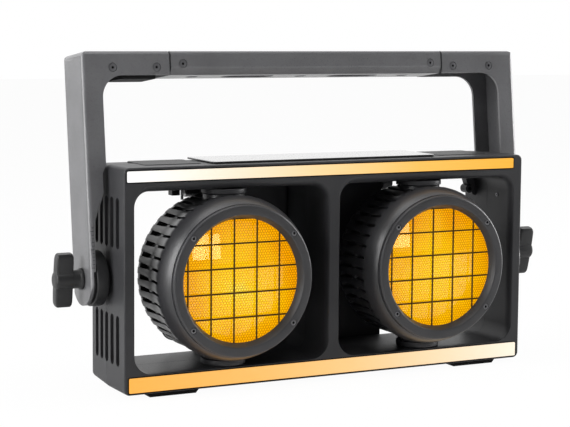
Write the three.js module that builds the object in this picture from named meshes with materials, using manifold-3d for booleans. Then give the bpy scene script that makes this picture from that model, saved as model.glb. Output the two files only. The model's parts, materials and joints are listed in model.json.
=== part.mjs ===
// Two-lamp audience blinder on a tilting yoke.
// Millimetres, +Z up, the lamps shine towards -Y, +X is the right side seen from the front.
// Every y below is counted from the front face of the frame; the finished group is moved at the end
// so that its origin is the middle of the box it fills, on the floor.
import * as THREE from 'three'
import { mergeVertices } from 'three/addons/utils/BufferGeometryUtils.js'
import Module from 'manifold-3d'

const wasm = await Module()
wasm.setup()

// Clearances that every seat, bore and cut uses
const seatGap = 0.3
const runningGap = 0.5
const overrun = 1

// Smoothness, in faces
const roundFaces = 32
const plainFaces = 18
const smallRoundFaces = 10
const cornerFaces = 3
const smallCornerFaces = 1
const nutFaces = 6
const leadFaces = 4
const leadSteps = 16
const bowlSteps = 2

// Frame: two moulded shells that meet at a seam
const frameWidth = 468
const frameHeight = 225
const frameDepth = 96
const seamY = frameDepth / 2
const frameCorner = 6
const frameEdge = 1.5
const frameWall = 3
const frontLand = 12
const rearDraft = 2
const rearEdge = 4

// The two lamp openings through the frame
const sideRail = 9.5
const sideRailRear = 12.5
const dividerHalf = 5
const dividerHalfRear = 8
const topRail = 17
const topRailRear = 24.5
const bottomRail = 19
const bottomRailRear = 20
const openingTop = frameHeight / 2 - topRail
const openingTopRear = frameHeight / 2 - topRailRear
const openingBottom = -frameHeight / 2 + bottomRail
const openingBottomRear = -frameHeight / 2 + bottomRailRear
const openingCorner = 22
const openingCornerRear = 16
const flareDepth = 10
const flareSteps = 2
const rearFlareDepth = 5
const rearFlare = 3

// Light strips along the top and the bottom of the front face
const stripLeftInset = 5
const stripRightInset = 4.5
const topStripInset = 3.4
const topStripHeight = 10.7
const bottomStripInset = 2.3
const bottomStripHeight = 14.8
const stripLeft = -frameWidth / 2 + stripLeftInset
const stripRight = frameWidth / 2 - stripRightInset
const topStripHigh = frameHeight / 2 - topStripInset
const topStripLow = topStripHigh - topStripHeight
const bottomStripLow = -frameHeight / 2 + bottomStripInset
const bottomStripHigh = bottomStripLow + bottomStripHeight
const stripCorner = 2.2
const stripBorder = 0.9
const stripChannelDepth = 8
const stripThickness = 4.6
const stripProud = 0.4
const stripBoardInset = 2

// Vent slots in both sides
const ventCount = 5
const ventFirstY = 18
const ventPitch = (frameDepth - ventFirstY * 2) / (ventCount - 1)
const ventWidth = ventPitch / 2
const ventLow = 33
const ventTopInset = 28.5
const ventHigh = frameHeight / 2 - ventTopInset

// Top: raised panel and shallow recesses for pads; underneath: rubber feet
const padSideInset = 31
const padWidth = 63
const padOuterX = frameWidth / 2 - padSideInset
const padInnerX = padOuterX - padWidth
const padFrontY = 22
const padRearY = frameDepth - padFrontY
const padCorner = 5
const padRecess = 1.6
const panelSpacing = 8
const panelHalfWidth = padInnerX - panelSpacing
const panelFrontY = 14
const panelRearInset = 12
const panelRearY = frameDepth - panelRearInset
const panelCorner = 6
const panelThickness = 1.8
const footSideInset = 26
const footWidth = 58
const footOuterX = frameWidth / 2 - footSideInset
const footInnerX = footOuterX - footWidth
const footLength = 22
const footHeight = 5
const footSlope = 4
const footSetback = 7

// Lamps
const lampShift = 1.75
const lampRise = 0.25
const lampX = (dividerHalfRear + frameWidth / 2 - sideRailRear) / 2 + lampShift
const lampZ = (openingTopRear + openingBottomRear) / 2 + lampRise
const lampPivotY = 23
const headClearance = 5.85
const coneRadius = (openingTopRear - openingBottomRear) / 2 - headClearance
const coneSpread = 8.1
const coneRearY = 1.5
const ringFrontY = -27
const ringRadius = coneRadius - coneSpread
const ringFaceWidth = 9.3
const ringDish = 2.8
const ringFaceInner = ringRadius - ringFaceWidth
const ringThroat = ringFaceInner - ringDish
const ringThickness = 5
const ringThroatY = -18.6
const ringEdge = 1.4
const ringScrewRadius = (ringFaceInner + ringRadius) / 2
const ringScrewAngle = THREE.MathUtils.degToRad(39.5)
const screwHoleRadius = 1.7
const screwHoleDepth = 3
const barrelStep = 2.4
const barrelRadius = coneRadius - barrelStep
const barrelRearY = 55.6
const ringLap = 6.3
const lensSeatRadius = ringRadius - ringLap
const lensSeatY = -11.5
const lensLedge = 4
const barrelBore = lensSeatRadius - lensLedge
const boreEndY = 40
const finCount = 44
const finSlotWidth = 4.8
const finSlotDepth = 8.6
const finSlotFrontY = 4

// Wire grille
const wireRadius = 0.9
const wirePitchAcrossShare = 0.36
const wirePitchUpShare = 0.356
const wireFirstAcrossShare = -0.823
const wireFirstUpShare = -0.536
const wireColumns = 5
const wireRows = 5
const grilleRimWidth = 2.4

// Lens, reflector and lamp module
const lensRadius = lensSeatRadius - seatGap * 2
const lensEdgeThickness = 2.6
const lensDome = 1.3
const lensMidDome = 1
const reflectorInset = 2.5
const reflectorMouth = barrelBore - reflectorInset
const reflectorNeck = 21
const reflectorWall = 1.6
const moduleRadius = 24
const moduleThickness = 5
const emitterRadius = 15
const emitterThickness = 1.2

// Lamp rear cover and its cable gland
const coverInset = 11
const coverRadius = barrelRadius - coverInset
const coverThickness = 4
const coverEdge = 2
const glandRadius = 6.5
const glandLength = 10
const glandDrop = 38
const leadRadius = 3.4
const leadReach = 36
const leadBend = 16

// Swivel discs above and below each lamp
const swivelRadius = 23
const swivelBossRadius = 21.5
const swivelBossHeight = coneRadius
const swivelPinRadius = 4
const swivelPinLength = 8

// Yoke
const pivotSetback = 8.5
const pivotY = seamY + pivotSetback
const pivotZ = lampZ
const yokeTilt = THREE.MathUtils.degToRad(6.7)
const yokeSideRoom = 23
const yokeTopRoom = 111.1
const yokeOuterX = frameWidth / 2 + yokeSideRoom
const yokeTop = frameHeight / 2 - pivotZ + yokeTopRoom
const yokeHalfDepth = 27
const plate = 3
const foldRadius = 4
const barHeight = 24.5
const flangeWidth = 21
const flangeStep = 4
const flangeStepHigh = 112
const flangeStepLow = 104
const flangeTaperHigh = 84
const flangeTaperLow = 54
const lipWidth = 5.4
const lipLow = 7
const yokeInnerCorner = 22
const yokeOuterCorner = 7
const armReach = 94
const barJointX = yokeOuterX - armReach
const barJointGap = 2
const barBevelHeight = 7.5
const barBevelDepth = 5
const clampHoleRadius = 6.5
const clampHoleInset = 36
const clampHoleX = barJointX - clampHoleInset
const slotHoleX = clampHoleX / 2
const slotHoleHalfLength = 30
const slotHoleRadius = 12
const joinerInnerReach = 23
const joinerOuterReach = 32
const joinerInnerX = barJointX - joinerInnerReach
const joinerOuterX = barJointX + joinerOuterReach
const joinerHalfDepth = 18
const joinerThickness = 5

// Tilt pivots: friction disc, stud and knob on each side
const frictionRadius = 28
const frictionCollarRadius = 19
const frictionCollar = 3.7
const frictionEdge = 1.5
const frictionStepRadius = 23.4
const frictionStep = 3
const studRadius = 5
const studTipInset = 8
const pivotBossRadius = 8
const knobNeckRadius = 9.2
const knobNeckLength = 10.6
const knobHubRadius = 9.6
const knobHubEdge = 3
const knobHubProud = 1
const knobWing = 27
const knobLength = 18
const knobThickness = 12
const knobCorner = 3
const knobTipCorner = 5
const knobPocket = 12
const knobTurnLeft = THREE.MathUtils.degToRad(6.5)
const knobTurnRight = THREE.MathUtils.degToRad(13)

// Control housing on the back
const trayHalfWidth = 113
const trayTopInset = 12.5
const trayBottomInset = 8.5
const trayTop = frameHeight / 2 - trayTopInset
const trayBottom = -frameHeight / 2 + trayBottomInset
const trayDepth = 9
const trayCorner = 12
const trayWall = 3
const coverShellDepth = 36
const coverShellTaperX = 28
const coverShellTaperZ = 22
const coverShellWall = 2.6
const displayWidth = 62
const displayHeight = 26
const displayDrop = 54
const displayZ = trayTop - displayDrop
const displayThickness = 2.2
const displayLip = 1
const displayRimWidth = 2
const buttonCount = 4
const buttonPitch = 18
const buttonDrop = 28
const buttonZ = displayZ - buttonDrop
const buttonRadius = 5
const buttonProud = 2.4
const buttonFlange = 1.2
const buttonFlangeThickness = 1
const buttonTravel = 1
const boardWidth = 92
const boardHeight = 66
const boardThickness = 1.6
const socketPitch = 40
const socketRise = 54
const socketZ = trayBottom + socketRise
const socketCount = 4
const socketHoleRadius = 11.6
const socketFlangeWidth = 26
const socketFlangeHeight = 31
const socketFlangeThickness = 2.2
const socketFlangeCorner = 3
const socketBarrelLength = 22
const socketBore = 8.6
const socketBoreDepth = 12
const fuseRise = 38
const fuseZ = socketZ + fuseRise
const fuseX = -60
const fuseRadius = 6.2
const fuseCapRadius = 8
const fuseCapLength = 8
const fuseBodyLength = 20
const eyeletX = 60
const eyeletRingRadius = 10
const eyeletWireRadius = 2.6
const eyeletBaseRadius = 9
const eyeletBaseThickness = 3
const supplyWidth = 150
const supplyHeight = 84
const supplyDepth = 24
const supplyRise = 6
const supplyZ = socketZ + supplyRise
const supplyCorner = 3
const sideGlandDrop = 23
const sideGlandZ = trayTop - sideGlandDrop
const leadExitRise = 25
const leadExitZ = trayBottom + leadExitRise
const sideGlandLength = 13
const sideGlandNutRadius = 8
const sideGlandNutLength = 6

// Materials
function finish(color, roughness, metalness) {
  return new THREE.MeshStandardMaterial({ color, roughness, metalness })
}
const frameFinish = finish(0x3a3a3b, 0.6, 0.2)
const yokeFinish = finish(0x6a6a6b, 0.55, 0.3)
const lampFinish = finish(0x4a4a4b, 0.55, 0.4)
const ringFinish = finish(0x505052, 0.5, 0.4)
const wireFinish = finish(0x4a3410, 0.5, 0.6)
const lensFinish = finish(0xffb400, 0.25, 0)
const warmFinish = finish(0xffd28a, 0.4, 0)
const amberFinish = finish(0xffb648, 0.4, 0)
const mirrorFinish = finish(0xc8c8c8, 0.2, 0.9)
const boardFinish = finish(0x1f5a3a, 0.6, 0.1)
const emitterFinish = finish(0xf0d060, 0.6, 0)
const rubberFinish = finish(0x1b1b1c, 0.9, 0)
const plasticFinish = finish(0x262627, 0.6, 0)
const glossFinish = finish(0x101012, 0.15, 0)
const steelFinish = finish(0x9a9a9c, 0.35, 0.9)
const grayPlasticFinish = finish(0x8c8c8c, 0.5, 0)

const light = new THREE.Group()
const yoke = new THREE.Group()
yoke.position.set(0, pivotY, pivotZ)
yoke.rotation.x = -yokeTilt
light.add(yoke)

function addPart(name, geometry, material, parent = light) {
  const mesh = new THREE.Mesh(geometry, material)
  mesh.name = name
  parent.add(mesh)
  return mesh
}

// Turns a closed surface the right way out, whatever order its points were given in
function facedOut(geometry) {
  const bare = geometry.index ? geometry.toNonIndexed() : geometry.clone()
  bare.deleteAttribute('normal')
  bare.deleteAttribute('uv')
  const position = bare.attributes.position
  const a = new THREE.Vector3()
  const b = new THREE.Vector3()
  const c = new THREE.Vector3()
  let volume = 0
  for (let i = 0; i < position.count; i += 3) {
    a.fromBufferAttribute(position, i)
    b.fromBufferAttribute(position, i + 1)
    c.fromBufferAttribute(position, i + 2)
    volume += a.dot(b.cross(c))
  }
  const merged = mergeVertices(bare)
  if (volume < 0) merged.index.array.reverse()
  merged.setIndex(withoutSlivers(merged.index.array))
  merged.computeVertexNormals()
  return merged
}

// Leaves out triangles that have lost a corner when points at the same place were merged
function withoutSlivers(indexes) {
  const kept = []
  for (let i = 0; i < indexes.length; i += 3) {
    const [a, b, c] = indexes.slice(i, i + 3)
    if (a !== b && b !== c && c !== a) kept.push(a, b, c)
  }
  return kept
}

function toSolid(geometry) {
  const closed = facedOut(geometry)
  const vertProperties = closed.attributes.position.array
  const triVerts = new Uint32Array(closed.index.array)
  return new wasm.Manifold(new wasm.Mesh({ numProp: 3, vertProperties, triVerts }))
}

function toGeometry(solid) {
  const mesh = solid.getMesh()
  const geometry = new THREE.BufferGeometry()
  geometry.setAttribute('position', new THREE.BufferAttribute(new Float32Array(mesh.vertProperties), 3))
  geometry.setIndex(new THREE.BufferAttribute(new Uint32Array(mesh.triVerts), 1))
  geometry.computeVertexNormals()
  return geometry
}

function join(...geometries) {
  return toGeometry(geometries.map(toSolid).reduce((whole, next) => whole.add(next)))
}

function cut(base, ...tools) {
  return toGeometry(tools.map(toSolid).reduce((left, tool) => left.subtract(tool), toSolid(base)))
}

function common(first, ...others) {
  return toGeometry(others.map(toSolid).reduce((left, other) => left.intersect(other), toSolid(first)))
}

function moved(geometry, x, y, z) {
  return geometry.clone().translate(x, y, z)
}

// The same solid on the other side of the middle plane x = 0
function mirrored(geometry) {
  return facedOut(geometry.clone().scale(-1, 1, 1))
}

// Outlines are drawn in two coordinates, with rounded corners as arcs
function roundedOutline(left, right, low, high, radius) {
  const shape = new THREE.Shape()
  shape.moveTo(left + radius, low)
  shape.lineTo(right - radius, low)
  shape.absarc(right - radius, low + radius, radius, -Math.PI / 2, 0)
  shape.lineTo(right, high - radius)
  shape.absarc(right - radius, high - radius, radius, 0, Math.PI / 2)
  shape.lineTo(left + radius, high)
  shape.absarc(left + radius, high - radius, radius, Math.PI / 2, Math.PI)
  shape.lineTo(left, low + radius)
  shape.absarc(left + radius, low + radius, radius, Math.PI, Math.PI * 3 / 2)
  return shape
}

function polygonOutline(points) {
  return new THREE.Shape(points.map(([across, up]) => new THREE.Vector2(across, up)))
}

function extruded(shape, depth, curveSegments = cornerFaces) {
  return new THREE.ExtrudeGeometry(shape, { depth, bevelEnabled: false, curveSegments })
}

// An outline in x and z, carried from nearY to farY
function alongY(shape, nearY, farY, faces = cornerFaces) {
  return extruded(shape, farY - nearY, faces).rotateX(Math.PI / 2).translate(0, farY, 0)
}

// An outline in y and z, carried from lowX to highX
function alongX(shape, lowX, highX, faces = cornerFaces) {
  const turn = new THREE.Matrix4().makeBasis(
    new THREE.Vector3(0, 1, 0), new THREE.Vector3(0, 0, 1), new THREE.Vector3(1, 0, 0))
  return extruded(shape, highX - lowX, faces).applyMatrix4(turn).translate(lowX, 0, 0)
}

// An outline in x and y, carried from lowZ to highZ
function alongZ(shape, lowZ, highZ, faces = cornerFaces) {
  return extruded(shape, highZ - lowZ, faces).translate(0, 0, lowZ)
}

// A profile of [radius, distance] pairs turned about the Y axis
function turned(profile, faces = roundFaces) {
  const points = profile.map(([radius, along]) => new THREE.Vector2(radius, along))
  return facedOut(new THREE.LatheGeometry(points, faces))
}

function turnedAboutX(profile, faces = roundFaces) {
  return turned(profile, faces).rotateZ(-Math.PI / 2)
}

function turnedAboutZ(profile, faces = roundFaces) {
  return turned(profile, faces).rotateX(Math.PI / 2)
}

function rodAlongY(radius, nearY, farY, faces = smallRoundFaces) {
  return turned([[0, nearY], [radius, nearY], [radius, farY], [0, farY]], faces)
}

function rodAlongX(radius, lowX, highX, faces = smallRoundFaces) {
  return turnedAboutX([[0, lowX], [radius, lowX], [radius, highX], [0, highX]], faces)
}

function rodAlongZ(radius, lowZ, highZ, faces = smallRoundFaces) {
  return turnedAboutZ([[0, lowZ], [radius, lowZ], [radius, highZ], [0, highZ]], faces)
}

// The points round a rounded rectangle at one depth, the same number whatever its size
function rectangleRing({ y, left, right, low, high, radius }, faces) {
  const centres = [
    [right - radius, low + radius], [right - radius, high - radius],
    [left + radius, high - radius], [left + radius, low + radius]]
  return centres.flatMap(([x, z], corner) => {
    const points = []
    for (let i = 0; i <= faces; i++) {
      const angle = Math.PI / 2 * (corner - 1 + i / faces)
      points.push(new THREE.Vector3(x + radius * Math.cos(angle), y, z + radius * Math.sin(angle)))
    }
    return points
  })
}

// A skin through rounded rectangles that stand one behind the other along Y, closed at both ends
function lofted(rectangles, faces = cornerFaces) {
  const rings = rectangles.map(rectangle => rectangleRing(rectangle, faces))
  const count = rings[0].length
  const positions = rings.flat().flatMap(point => point.toArray())
  const indexes = []
  for (let ring = 0; ring + 1 < rings.length; ring++) {
    for (let i = 0; i < count; i++) {
      const here = ring * count + i
      const next = ring * count + (i + 1) % count
      indexes.push(here, next, next + count, here, next + count, here + count)
    }
  }
  const lastRing = (rings.length - 1) * count
  for (let i = 1; i + 1 < count; i++) {
    indexes.push(0, i + 1, i, lastRing, lastRing + i, lastRing + i + 1)
  }
  const geometry = new THREE.BufferGeometry()
  geometry.setAttribute('position', new THREE.Float32BufferAttribute(positions, 3))
  geometry.setIndex(indexes)
  return facedOut(geometry)
}

// A rounded rectangle centred on x = 0 that is inset on every side
function frameRectangle(y, inset, radius) {
  return {
    y,
    left: -frameWidth / 2 + inset,
    right: frameWidth / 2 - inset,
    low: -frameHeight / 2 + inset,
    high: frameHeight / 2 - inset,
    radius,
  }
}

// The lamp opening on the right: it narrows from the front face in a quarter ellipse,
// runs straight, and widens again a little at the back. "grow" makes it larger all round.
function openingRectangle(y, share, grow) {
  const mix = (front, rear) => front + (rear - front) * share
  return {
    y,
    left: mix(dividerHalf, dividerHalfRear) - grow,
    right: frameWidth / 2 - mix(sideRail, sideRailRear) + grow,
    low: mix(openingBottom, openingBottomRear) - grow,
    high: mix(openingTop, openingTopRear) + grow,
    radius: mix(openingCorner, openingCornerRear) + grow,
  }
}

function openingTool() {
  const rectangles = [openingRectangle(-overrun, 0, 0)]
  for (let step = 0; step <= flareSteps; step++) {
    const angle = Math.PI / 2 * step / flareSteps
    rectangles.push(openingRectangle(flareDepth * (1 - Math.cos(angle)), Math.sin(angle), 0))
  }
  rectangles.push(openingRectangle(frameDepth - rearFlareDepth, 1, 0))
  rectangles.push(openingRectangle(frameDepth + overrun, 1, rearFlare))
  return lofted(rectangles)
}

// Room that the opening's own wall takes out of the hollow of the frame
function openingWallTool() {
  const rectangles = [
    openingRectangle(-overrun, 0, frameWall),
    openingRectangle(flareDepth, 1, frameWall),
    openingRectangle(frameDepth + overrun, 1, frameWall),
  ]
  return lofted(rectangles)
}

// Frame shells
function ventTools() {
  const tools = []
  for (let i = 0; i < ventCount; i++) {
    const y = ventFirstY + ventPitch * i
    const near = y - ventWidth / 2
    const far = y + ventWidth / 2
    for (const [low, high] of [[-ventHigh, -ventLow], [ventLow, ventHigh]]) {
      const slot = roundedOutline(near, far, low + pivotZ, high + pivotZ, ventWidth / 2)
      const inner = frameWidth / 2 - frameWall - rearDraft - overrun
      tools.push(alongX(slot, inner, frameWidth / 2 + overrun, smallCornerFaces))
      tools.push(alongX(slot, -frameWidth / 2 - overrun, -inner, smallCornerFaces))
    }
  }
  return tools
}

function stripOutline(low, high, grow) {
  return roundedOutline(stripLeft - grow, stripRight + grow, low - grow, high + grow, stripCorner + grow)
}

function padTool(side) {
  const left = side < 0 ? -padOuterX : padInnerX
  const outline = roundedOutline(left, left + padOuterX - padInnerX, padFrontY, padRearY, padCorner)
  return alongZ(outline, frameHeight / 2 - padRecess, frameHeight / 2 + overrun, smallCornerFaces)
}

const opening = openingTool()
const openingWall = openingWallTool()
const openings = [opening, mirrored(opening)]
const openingWalls = [openingWall, mirrored(openingWall)]

function frontFrame() {
  const outer = lofted([
    frameRectangle(0, frameEdge, frameCorner - frameEdge),
    frameRectangle(frameEdge, 0, frameCorner),
    frameRectangle(seamY, 0, frameCorner),
  ])
  const hollow = cut(lofted([
    frameRectangle(frontLand, frameWall, frameCorner - frameWall),
    frameRectangle(seamY + overrun, frameWall, frameCorner - frameWall),
  ], smallCornerFaces), ...openingWalls)
  const channels = [
    alongY(stripOutline(topStripLow, topStripHigh, stripBorder), -overrun, stripChannelDepth, smallCornerFaces),
    alongY(stripOutline(bottomStripLow, bottomStripHigh, stripBorder), -overrun, stripChannelDepth, smallCornerFaces),
  ]
  return cut(outer, hollow, ...openings, ...channels, ...ventTools(), padTool(-1), padTool(1))
}

function rearFrame() {
  const front = seamY + seatGap
  const outer = lofted([
    frameRectangle(front, 0, frameCorner),
    frameRectangle(frameDepth - rearEdge, rearDraft, frameCorner),
    frameRectangle(frameDepth, rearDraft + rearEdge, frameCorner),
  ])
  const hollow = cut(lofted([
    frameRectangle(front - overrun, frameWall, frameCorner - frameWall),
    frameRectangle(frameDepth - rearEdge - frameWall, frameWall + rearDraft, frameCorner - frameWall),
  ], smallCornerFaces), ...openingWalls)
  const bossInner = frameWidth / 2 - sideRailRear + frameWall / 2
  const bossOuter = frameWidth / 2 - frameWall / 2 - rearDraft
  const boss = moved(rodAlongX(pivotBossRadius, bossInner, bossOuter), 0, pivotY, pivotZ)
  const boreInner = frameWidth / 2 - studTipInset - seatGap
  const bore = moved(rodAlongX(studRadius + runningGap, boreInner, frameWidth / 2 + overrun), 0, pivotY, pivotZ)
  const shell = join(cut(outer, hollow, ...openings), boss, mirrored(boss))
  return cut(shell, bore, mirrored(bore), ...ventTools(), padTool(-1), padTool(1))
}

addPart('front_frame', frontFrame(), frameFinish)
addPart('rear_frame', rearFrame(), frameFinish)

// Light strips: a diffuser bar in each channel, with its circuit board behind it
function addStrip(name, low, high, material) {
  const boardRear = stripChannelDepth - seatGap
  const boardFront = boardRear - boardThickness
  const barFront = -stripProud
  const board = alongY(stripOutline(low, high, -stripBoardInset), boardFront, boardRear, smallCornerFaces)
  const bar = alongY(stripOutline(low, high, 0), barFront, barFront + stripThickness, smallCornerFaces)
  const foot = alongY(stripOutline(low, high, -stripBoardInset), barFront, boardFront - seatGap, smallCornerFaces)
  addPart('light_strip_' + name, join(bar, foot), material)
  addPart('strip_board_' + name, board, boardFinish)
}
addStrip('top', topStripLow, topStripHigh, warmFinish)
addStrip('bottom', bottomStripLow, bottomStripHigh, amberFinish)

// Raised panel on the top, rubber feet underneath
function topPanel() {
  const outline = roundedOutline(-panelHalfWidth, panelHalfWidth, panelFrontY, panelRearY, panelCorner)
  const low = frameHeight / 2 + seatGap
  return alongZ(outline, low, low + panelThickness, smallCornerFaces)
}
addPart('top_panel', topPanel(), glossFinish)

// How far the rear shell's draft has drawn the surface in at this depth
function draftAt(y) {
  return Math.max(0, rearDraft * (y - seamY) / (frameDepth - rearEdge - seamY))
}

function foot(frontY) {
  const rearY = frontY + footLength
  const underside = -frameHeight / 2 - seatGap
  const bottom = -frameHeight / 2 - footHeight
  const ends = polygonOutline([
    [footInnerX, underside + rearDraft],
    [footInnerX, underside],
    [footInnerX + footSlope, bottom],
    [footOuterX - footSlope, bottom],
    [footOuterX, underside],
    [footOuterX, underside + rearDraft],
  ])
  const side = polygonOutline([
    [frontY, bottom], [rearY, bottom], [rearY, underside + draftAt(rearY)], [frontY, underside + draftAt(frontY)]])
  return common(alongY(ends, frontY, rearY), alongX(side, footInnerX, footOuterX))
}
const rearFootY = frameDepth - footSetback - footLength
addPart('foot_front_right', foot(footSetback), rubberFinish)
addPart('foot_front_left', mirrored(foot(footSetback)), rubberFinish)
addPart('foot_rear_right', foot(rearFootY), rubberFinish)
addPart('foot_rear_left', mirrored(foot(rearFootY)), rubberFinish)

// Lamp heads. Each is modelled about its own axis, then set beside the divider.
function ringScrewHoles() {
  const holes = []
  for (const side of [0, Math.PI]) {
    for (const turn of [-ringScrewAngle, ringScrewAngle]) {
      const x = ringScrewRadius * Math.cos(side + turn)
      const z = ringScrewRadius * Math.sin(side + turn)
      const hole = rodAlongY(screwHoleRadius, ringFrontY - overrun, ringFrontY + screwHoleDepth, cornerFaces * 2)
      holes.push(moved(hole, x, 0, z))
    }
  }
  return holes
}

function frontRing() {
  const rear = ringFrontY + ringThickness
  const blank = turned([
    [ringFaceInner, ringFrontY],
    [ringRadius - ringEdge, ringFrontY],
    [ringRadius, ringFrontY + ringEdge],
    [ringRadius, rear],
    [lensSeatRadius - seatGap, rear],
    [lensSeatRadius - seatGap, ringThroatY],
    [ringThroat, ringThroatY],
    [ringFaceInner, ringFrontY],
  ], roundFaces)
  return cut(blank, ...ringScrewHoles())
}

// A square wire of the grille, standing upright at this x
function upright(x, low, high, front, rear) {
  const outline = polygonOutline([
    [x - wireRadius, low], [x + wireRadius, low], [x + wireRadius, high], [x - wireRadius, high]])
  return alongY(outline, front, rear)
}

function wireGrille() {
  const front = ringThroatY + seatGap
  const rear = front + wireRadius * 2
  const rimOuter = lensSeatRadius - seatGap * 2
  const rimInner = rimOuter - grilleRimWidth
  const rim = turned([
    [rimInner, front], [rimOuter, front], [rimOuter, rear], [rimInner, rear], [rimInner, front]], plainFaces)
  const reach = offset => Math.sqrt(rimInner * rimInner - offset * offset) + grilleRimWidth / 2
  const wires = []
  for (let i = 0; i < wireColumns; i++) {
    const x = lensSeatRadius * (wireFirstAcrossShare + wirePitchAcrossShare * i)
    wires.push(upright(x, -reach(x), reach(x), front, rear))
  }
  for (let i = 0; i < wireRows; i++) {
    const z = lensSeatRadius * (wireFirstUpShare + wirePitchUpShare * i)
    wires.push(upright(z, -reach(z), reach(z), front, rear).rotateY(Math.PI / 2))
  }
  return join(rim, ...wires)
}

function lens() {
  const front = ringThroatY + seatGap * 2 + wireRadius * 2
  const rear = front + lensEdgeThickness
  return turned([
    [0, front], [lensRadius, front], [lensRadius, rear], [lensRadius / 2, rear + lensMidDome], [0, rear + lensDome]])
}

// Die-cast head: plain conical collar, finned barrel, bore for the reflector and swivel bosses
function finOutline() {
  const root = barrelRadius - finSlotDepth
  const halfSlot = finSlotWidth / 2
  const points = []
  for (let i = 0; i < finCount; i++) {
    const slotAngle = Math.PI * 2 * i / finCount
    for (const [radius, side] of [[barrelRadius, -1], [root, -1], [root, 1], [barrelRadius, 1]]) {
      const angle = slotAngle + side * Math.asin(halfSlot / radius)
      points.push([radius * Math.sin(angle), radius * Math.cos(angle)])
    }
  }
  return polygonOutline(points)
}

function lampHead() {
  const ringRear = ringFrontY + ringThickness + seatGap
  const collar = turned([
    [0, ringRear],
    [ringRadius + ringEdge / 2, ringRear],
    [(ringRadius + coneRadius) / 2 + ringEdge, (ringRear + coneRearY) / 2],
    [coneRadius, coneRearY],
    [coneRadius - ringEdge, finSlotFrontY],
    [0, finSlotFrontY],
  ])
  const fins = alongY(finOutline(), finSlotFrontY - overrun, barrelRearY)
  const hollow = turned([
    [0, boreEndY],
    [barrelBore, boreEndY],
    [barrelBore, lensSeatY],
    [lensSeatRadius, lensSeatY],
    [lensSeatRadius, ringRear - overrun],
    [0, ringRear - overrun],
  ])
  const bossLow = barrelRadius - finSlotDepth - overrun
  const boss = moved(rodAlongZ(swivelBossRadius, bossLow, swivelBossHeight, plainFaces), 0, lampPivotY, 0)
  const pinBore = moved(
    rodAlongZ(swivelPinRadius + runningGap, swivelBossHeight - swivelPinLength, swivelBossHeight + overrun),
    0, lampPivotY, 0)
  const under = solid => solid.clone().rotateY(Math.PI)
  const wireHole = moved(rodAlongY(leadRadius, boreEndY - overrun, barrelRearY + overrun), 0, 0, -glandDrop)
  return cut(join(collar, fins, boss, under(boss)), hollow, pinBore, under(pinBore), wireHole)
}

function reflector() {
  const mouthY = ringThroatY + wireRadius * 2 + lensEdgeThickness + lensDome + seatGap * 4
  const neckY = boreEndY - moduleThickness - emitterThickness - seatGap * 2
  const bowl = []
  for (let step = 0; step <= bowlSteps; step++) {
    const share = step / bowlSteps
    bowl.push([reflectorNeck + (reflectorMouth - reflectorNeck) * Math.sqrt(share), neckY + (mouthY - neckY) * share])
  }
  const back = bowl.map(([radius, along]) => [radius + reflectorWall, along]).reverse()
  return turned([...bowl, ...back, bowl[0]], plainFaces)
}

function lampModule() {
  const rear = boreEndY - seatGap
  const front = rear - moduleThickness
  return turned([
    [0, front - emitterThickness],
    [emitterRadius, front - emitterThickness],
    [emitterRadius, front],
    [moduleRadius, front],
    [moduleRadius, rear],
    [0, rear],
  ], plainFaces)
}

function rearCover() {
  const front = barrelRearY + seatGap
  const rear = front + coverThickness
  const plateSolid = turned([
    [0, front], [coverRadius, front], [coverRadius, rear - coverEdge], [coverRadius - coverEdge, rear], [0, rear]], plainFaces)
  const gland = moved(rodAlongY(glandRadius, rear - overrun, rear + glandLength), 0, 0, -glandDrop)
  const bore = moved(rodAlongY(leadRadius, front - overrun, rear + glandLength + overrun), 0, 0, -glandDrop)
  return cut(join(plateSolid, gland), bore)
}

// Disc on the frame that the head turns on, with a pin that enters the head's boss
function swivelDisc(frameZ) {
  const bossEnd = swivelBossHeight + seatGap
  const frameEnd = Math.abs(frameZ - lampZ) - seatGap
  return turnedAboutZ([
    [0, bossEnd - swivelPinLength],
    [swivelPinRadius, bossEnd - swivelPinLength],
    [swivelPinRadius, bossEnd],
    [swivelRadius, bossEnd],
    [swivelRadius, frameEnd],
    [0, frameEnd],
  ], plainFaces)
}

// The lead leaves the side of the control housing, swings outwards and turns in to the head's gland
function lampLead() {
  const reliefStart = lampX - trayHalfWidth - seatGap
  const start = reliefStart - sideGlandLength
  const trayMiddle = frameDepth + seatGap + trayDepth / 2
  const low = leadExitZ - lampZ
  const high = -glandDrop
  const middle = (low + high) / 2
  const glandEnd = barrelRearY + seatGap + coverThickness + glandLength + runningGap
  const route = [
    [start + overrun, trayMiddle, low],
    [start - leadBend / 2, trayMiddle, low],
    [-leadReach + leadBend / 3, trayMiddle - leadRadius, low + leadBend / 3],
    [-leadReach, trayMiddle - leadRadius * 2, middle],
    [-leadReach + leadBend / 2, trayMiddle - leadRadius * 3, high],
    [-leadBend / 3, glandEnd + leadBend, high],
    [0, glandEnd + leadBend / 2, high],
    [0, glandEnd, high],
  ]
  const path = new THREE.CatmullRomCurve3(route.map(point => new THREE.Vector3(...point)), false, 'centripetal')
  const section = new THREE.Shape()
  section.absarc(0, 0, leadRadius, 0, Math.PI * 2)
  const tube = new THREE.ExtrudeGeometry(section, { steps: leadSteps, curveSegments: leadFaces, extrudePath: path })
  const relief = mirrored(rodAlongX(glandRadius, -reliefStart, sideGlandLength - reliefStart))
  return join(tube, moved(relief, 0, trayMiddle, low))
}

// Glands on the sides of the control housing: a threaded body with a nut
function sideGland() {
  const start = lampX - trayHalfWidth - seatGap
  const nut = turnedAboutX([
    [0, -start], [sideGlandNutRadius, -start], [sideGlandNutRadius, -start + sideGlandNutLength],
    [glandRadius, -start + sideGlandNutLength], [glandRadius, -start + sideGlandLength], [0, -start + sideGlandLength],
  ], nutFaces)
  return mirrored(nut)
}

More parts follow.
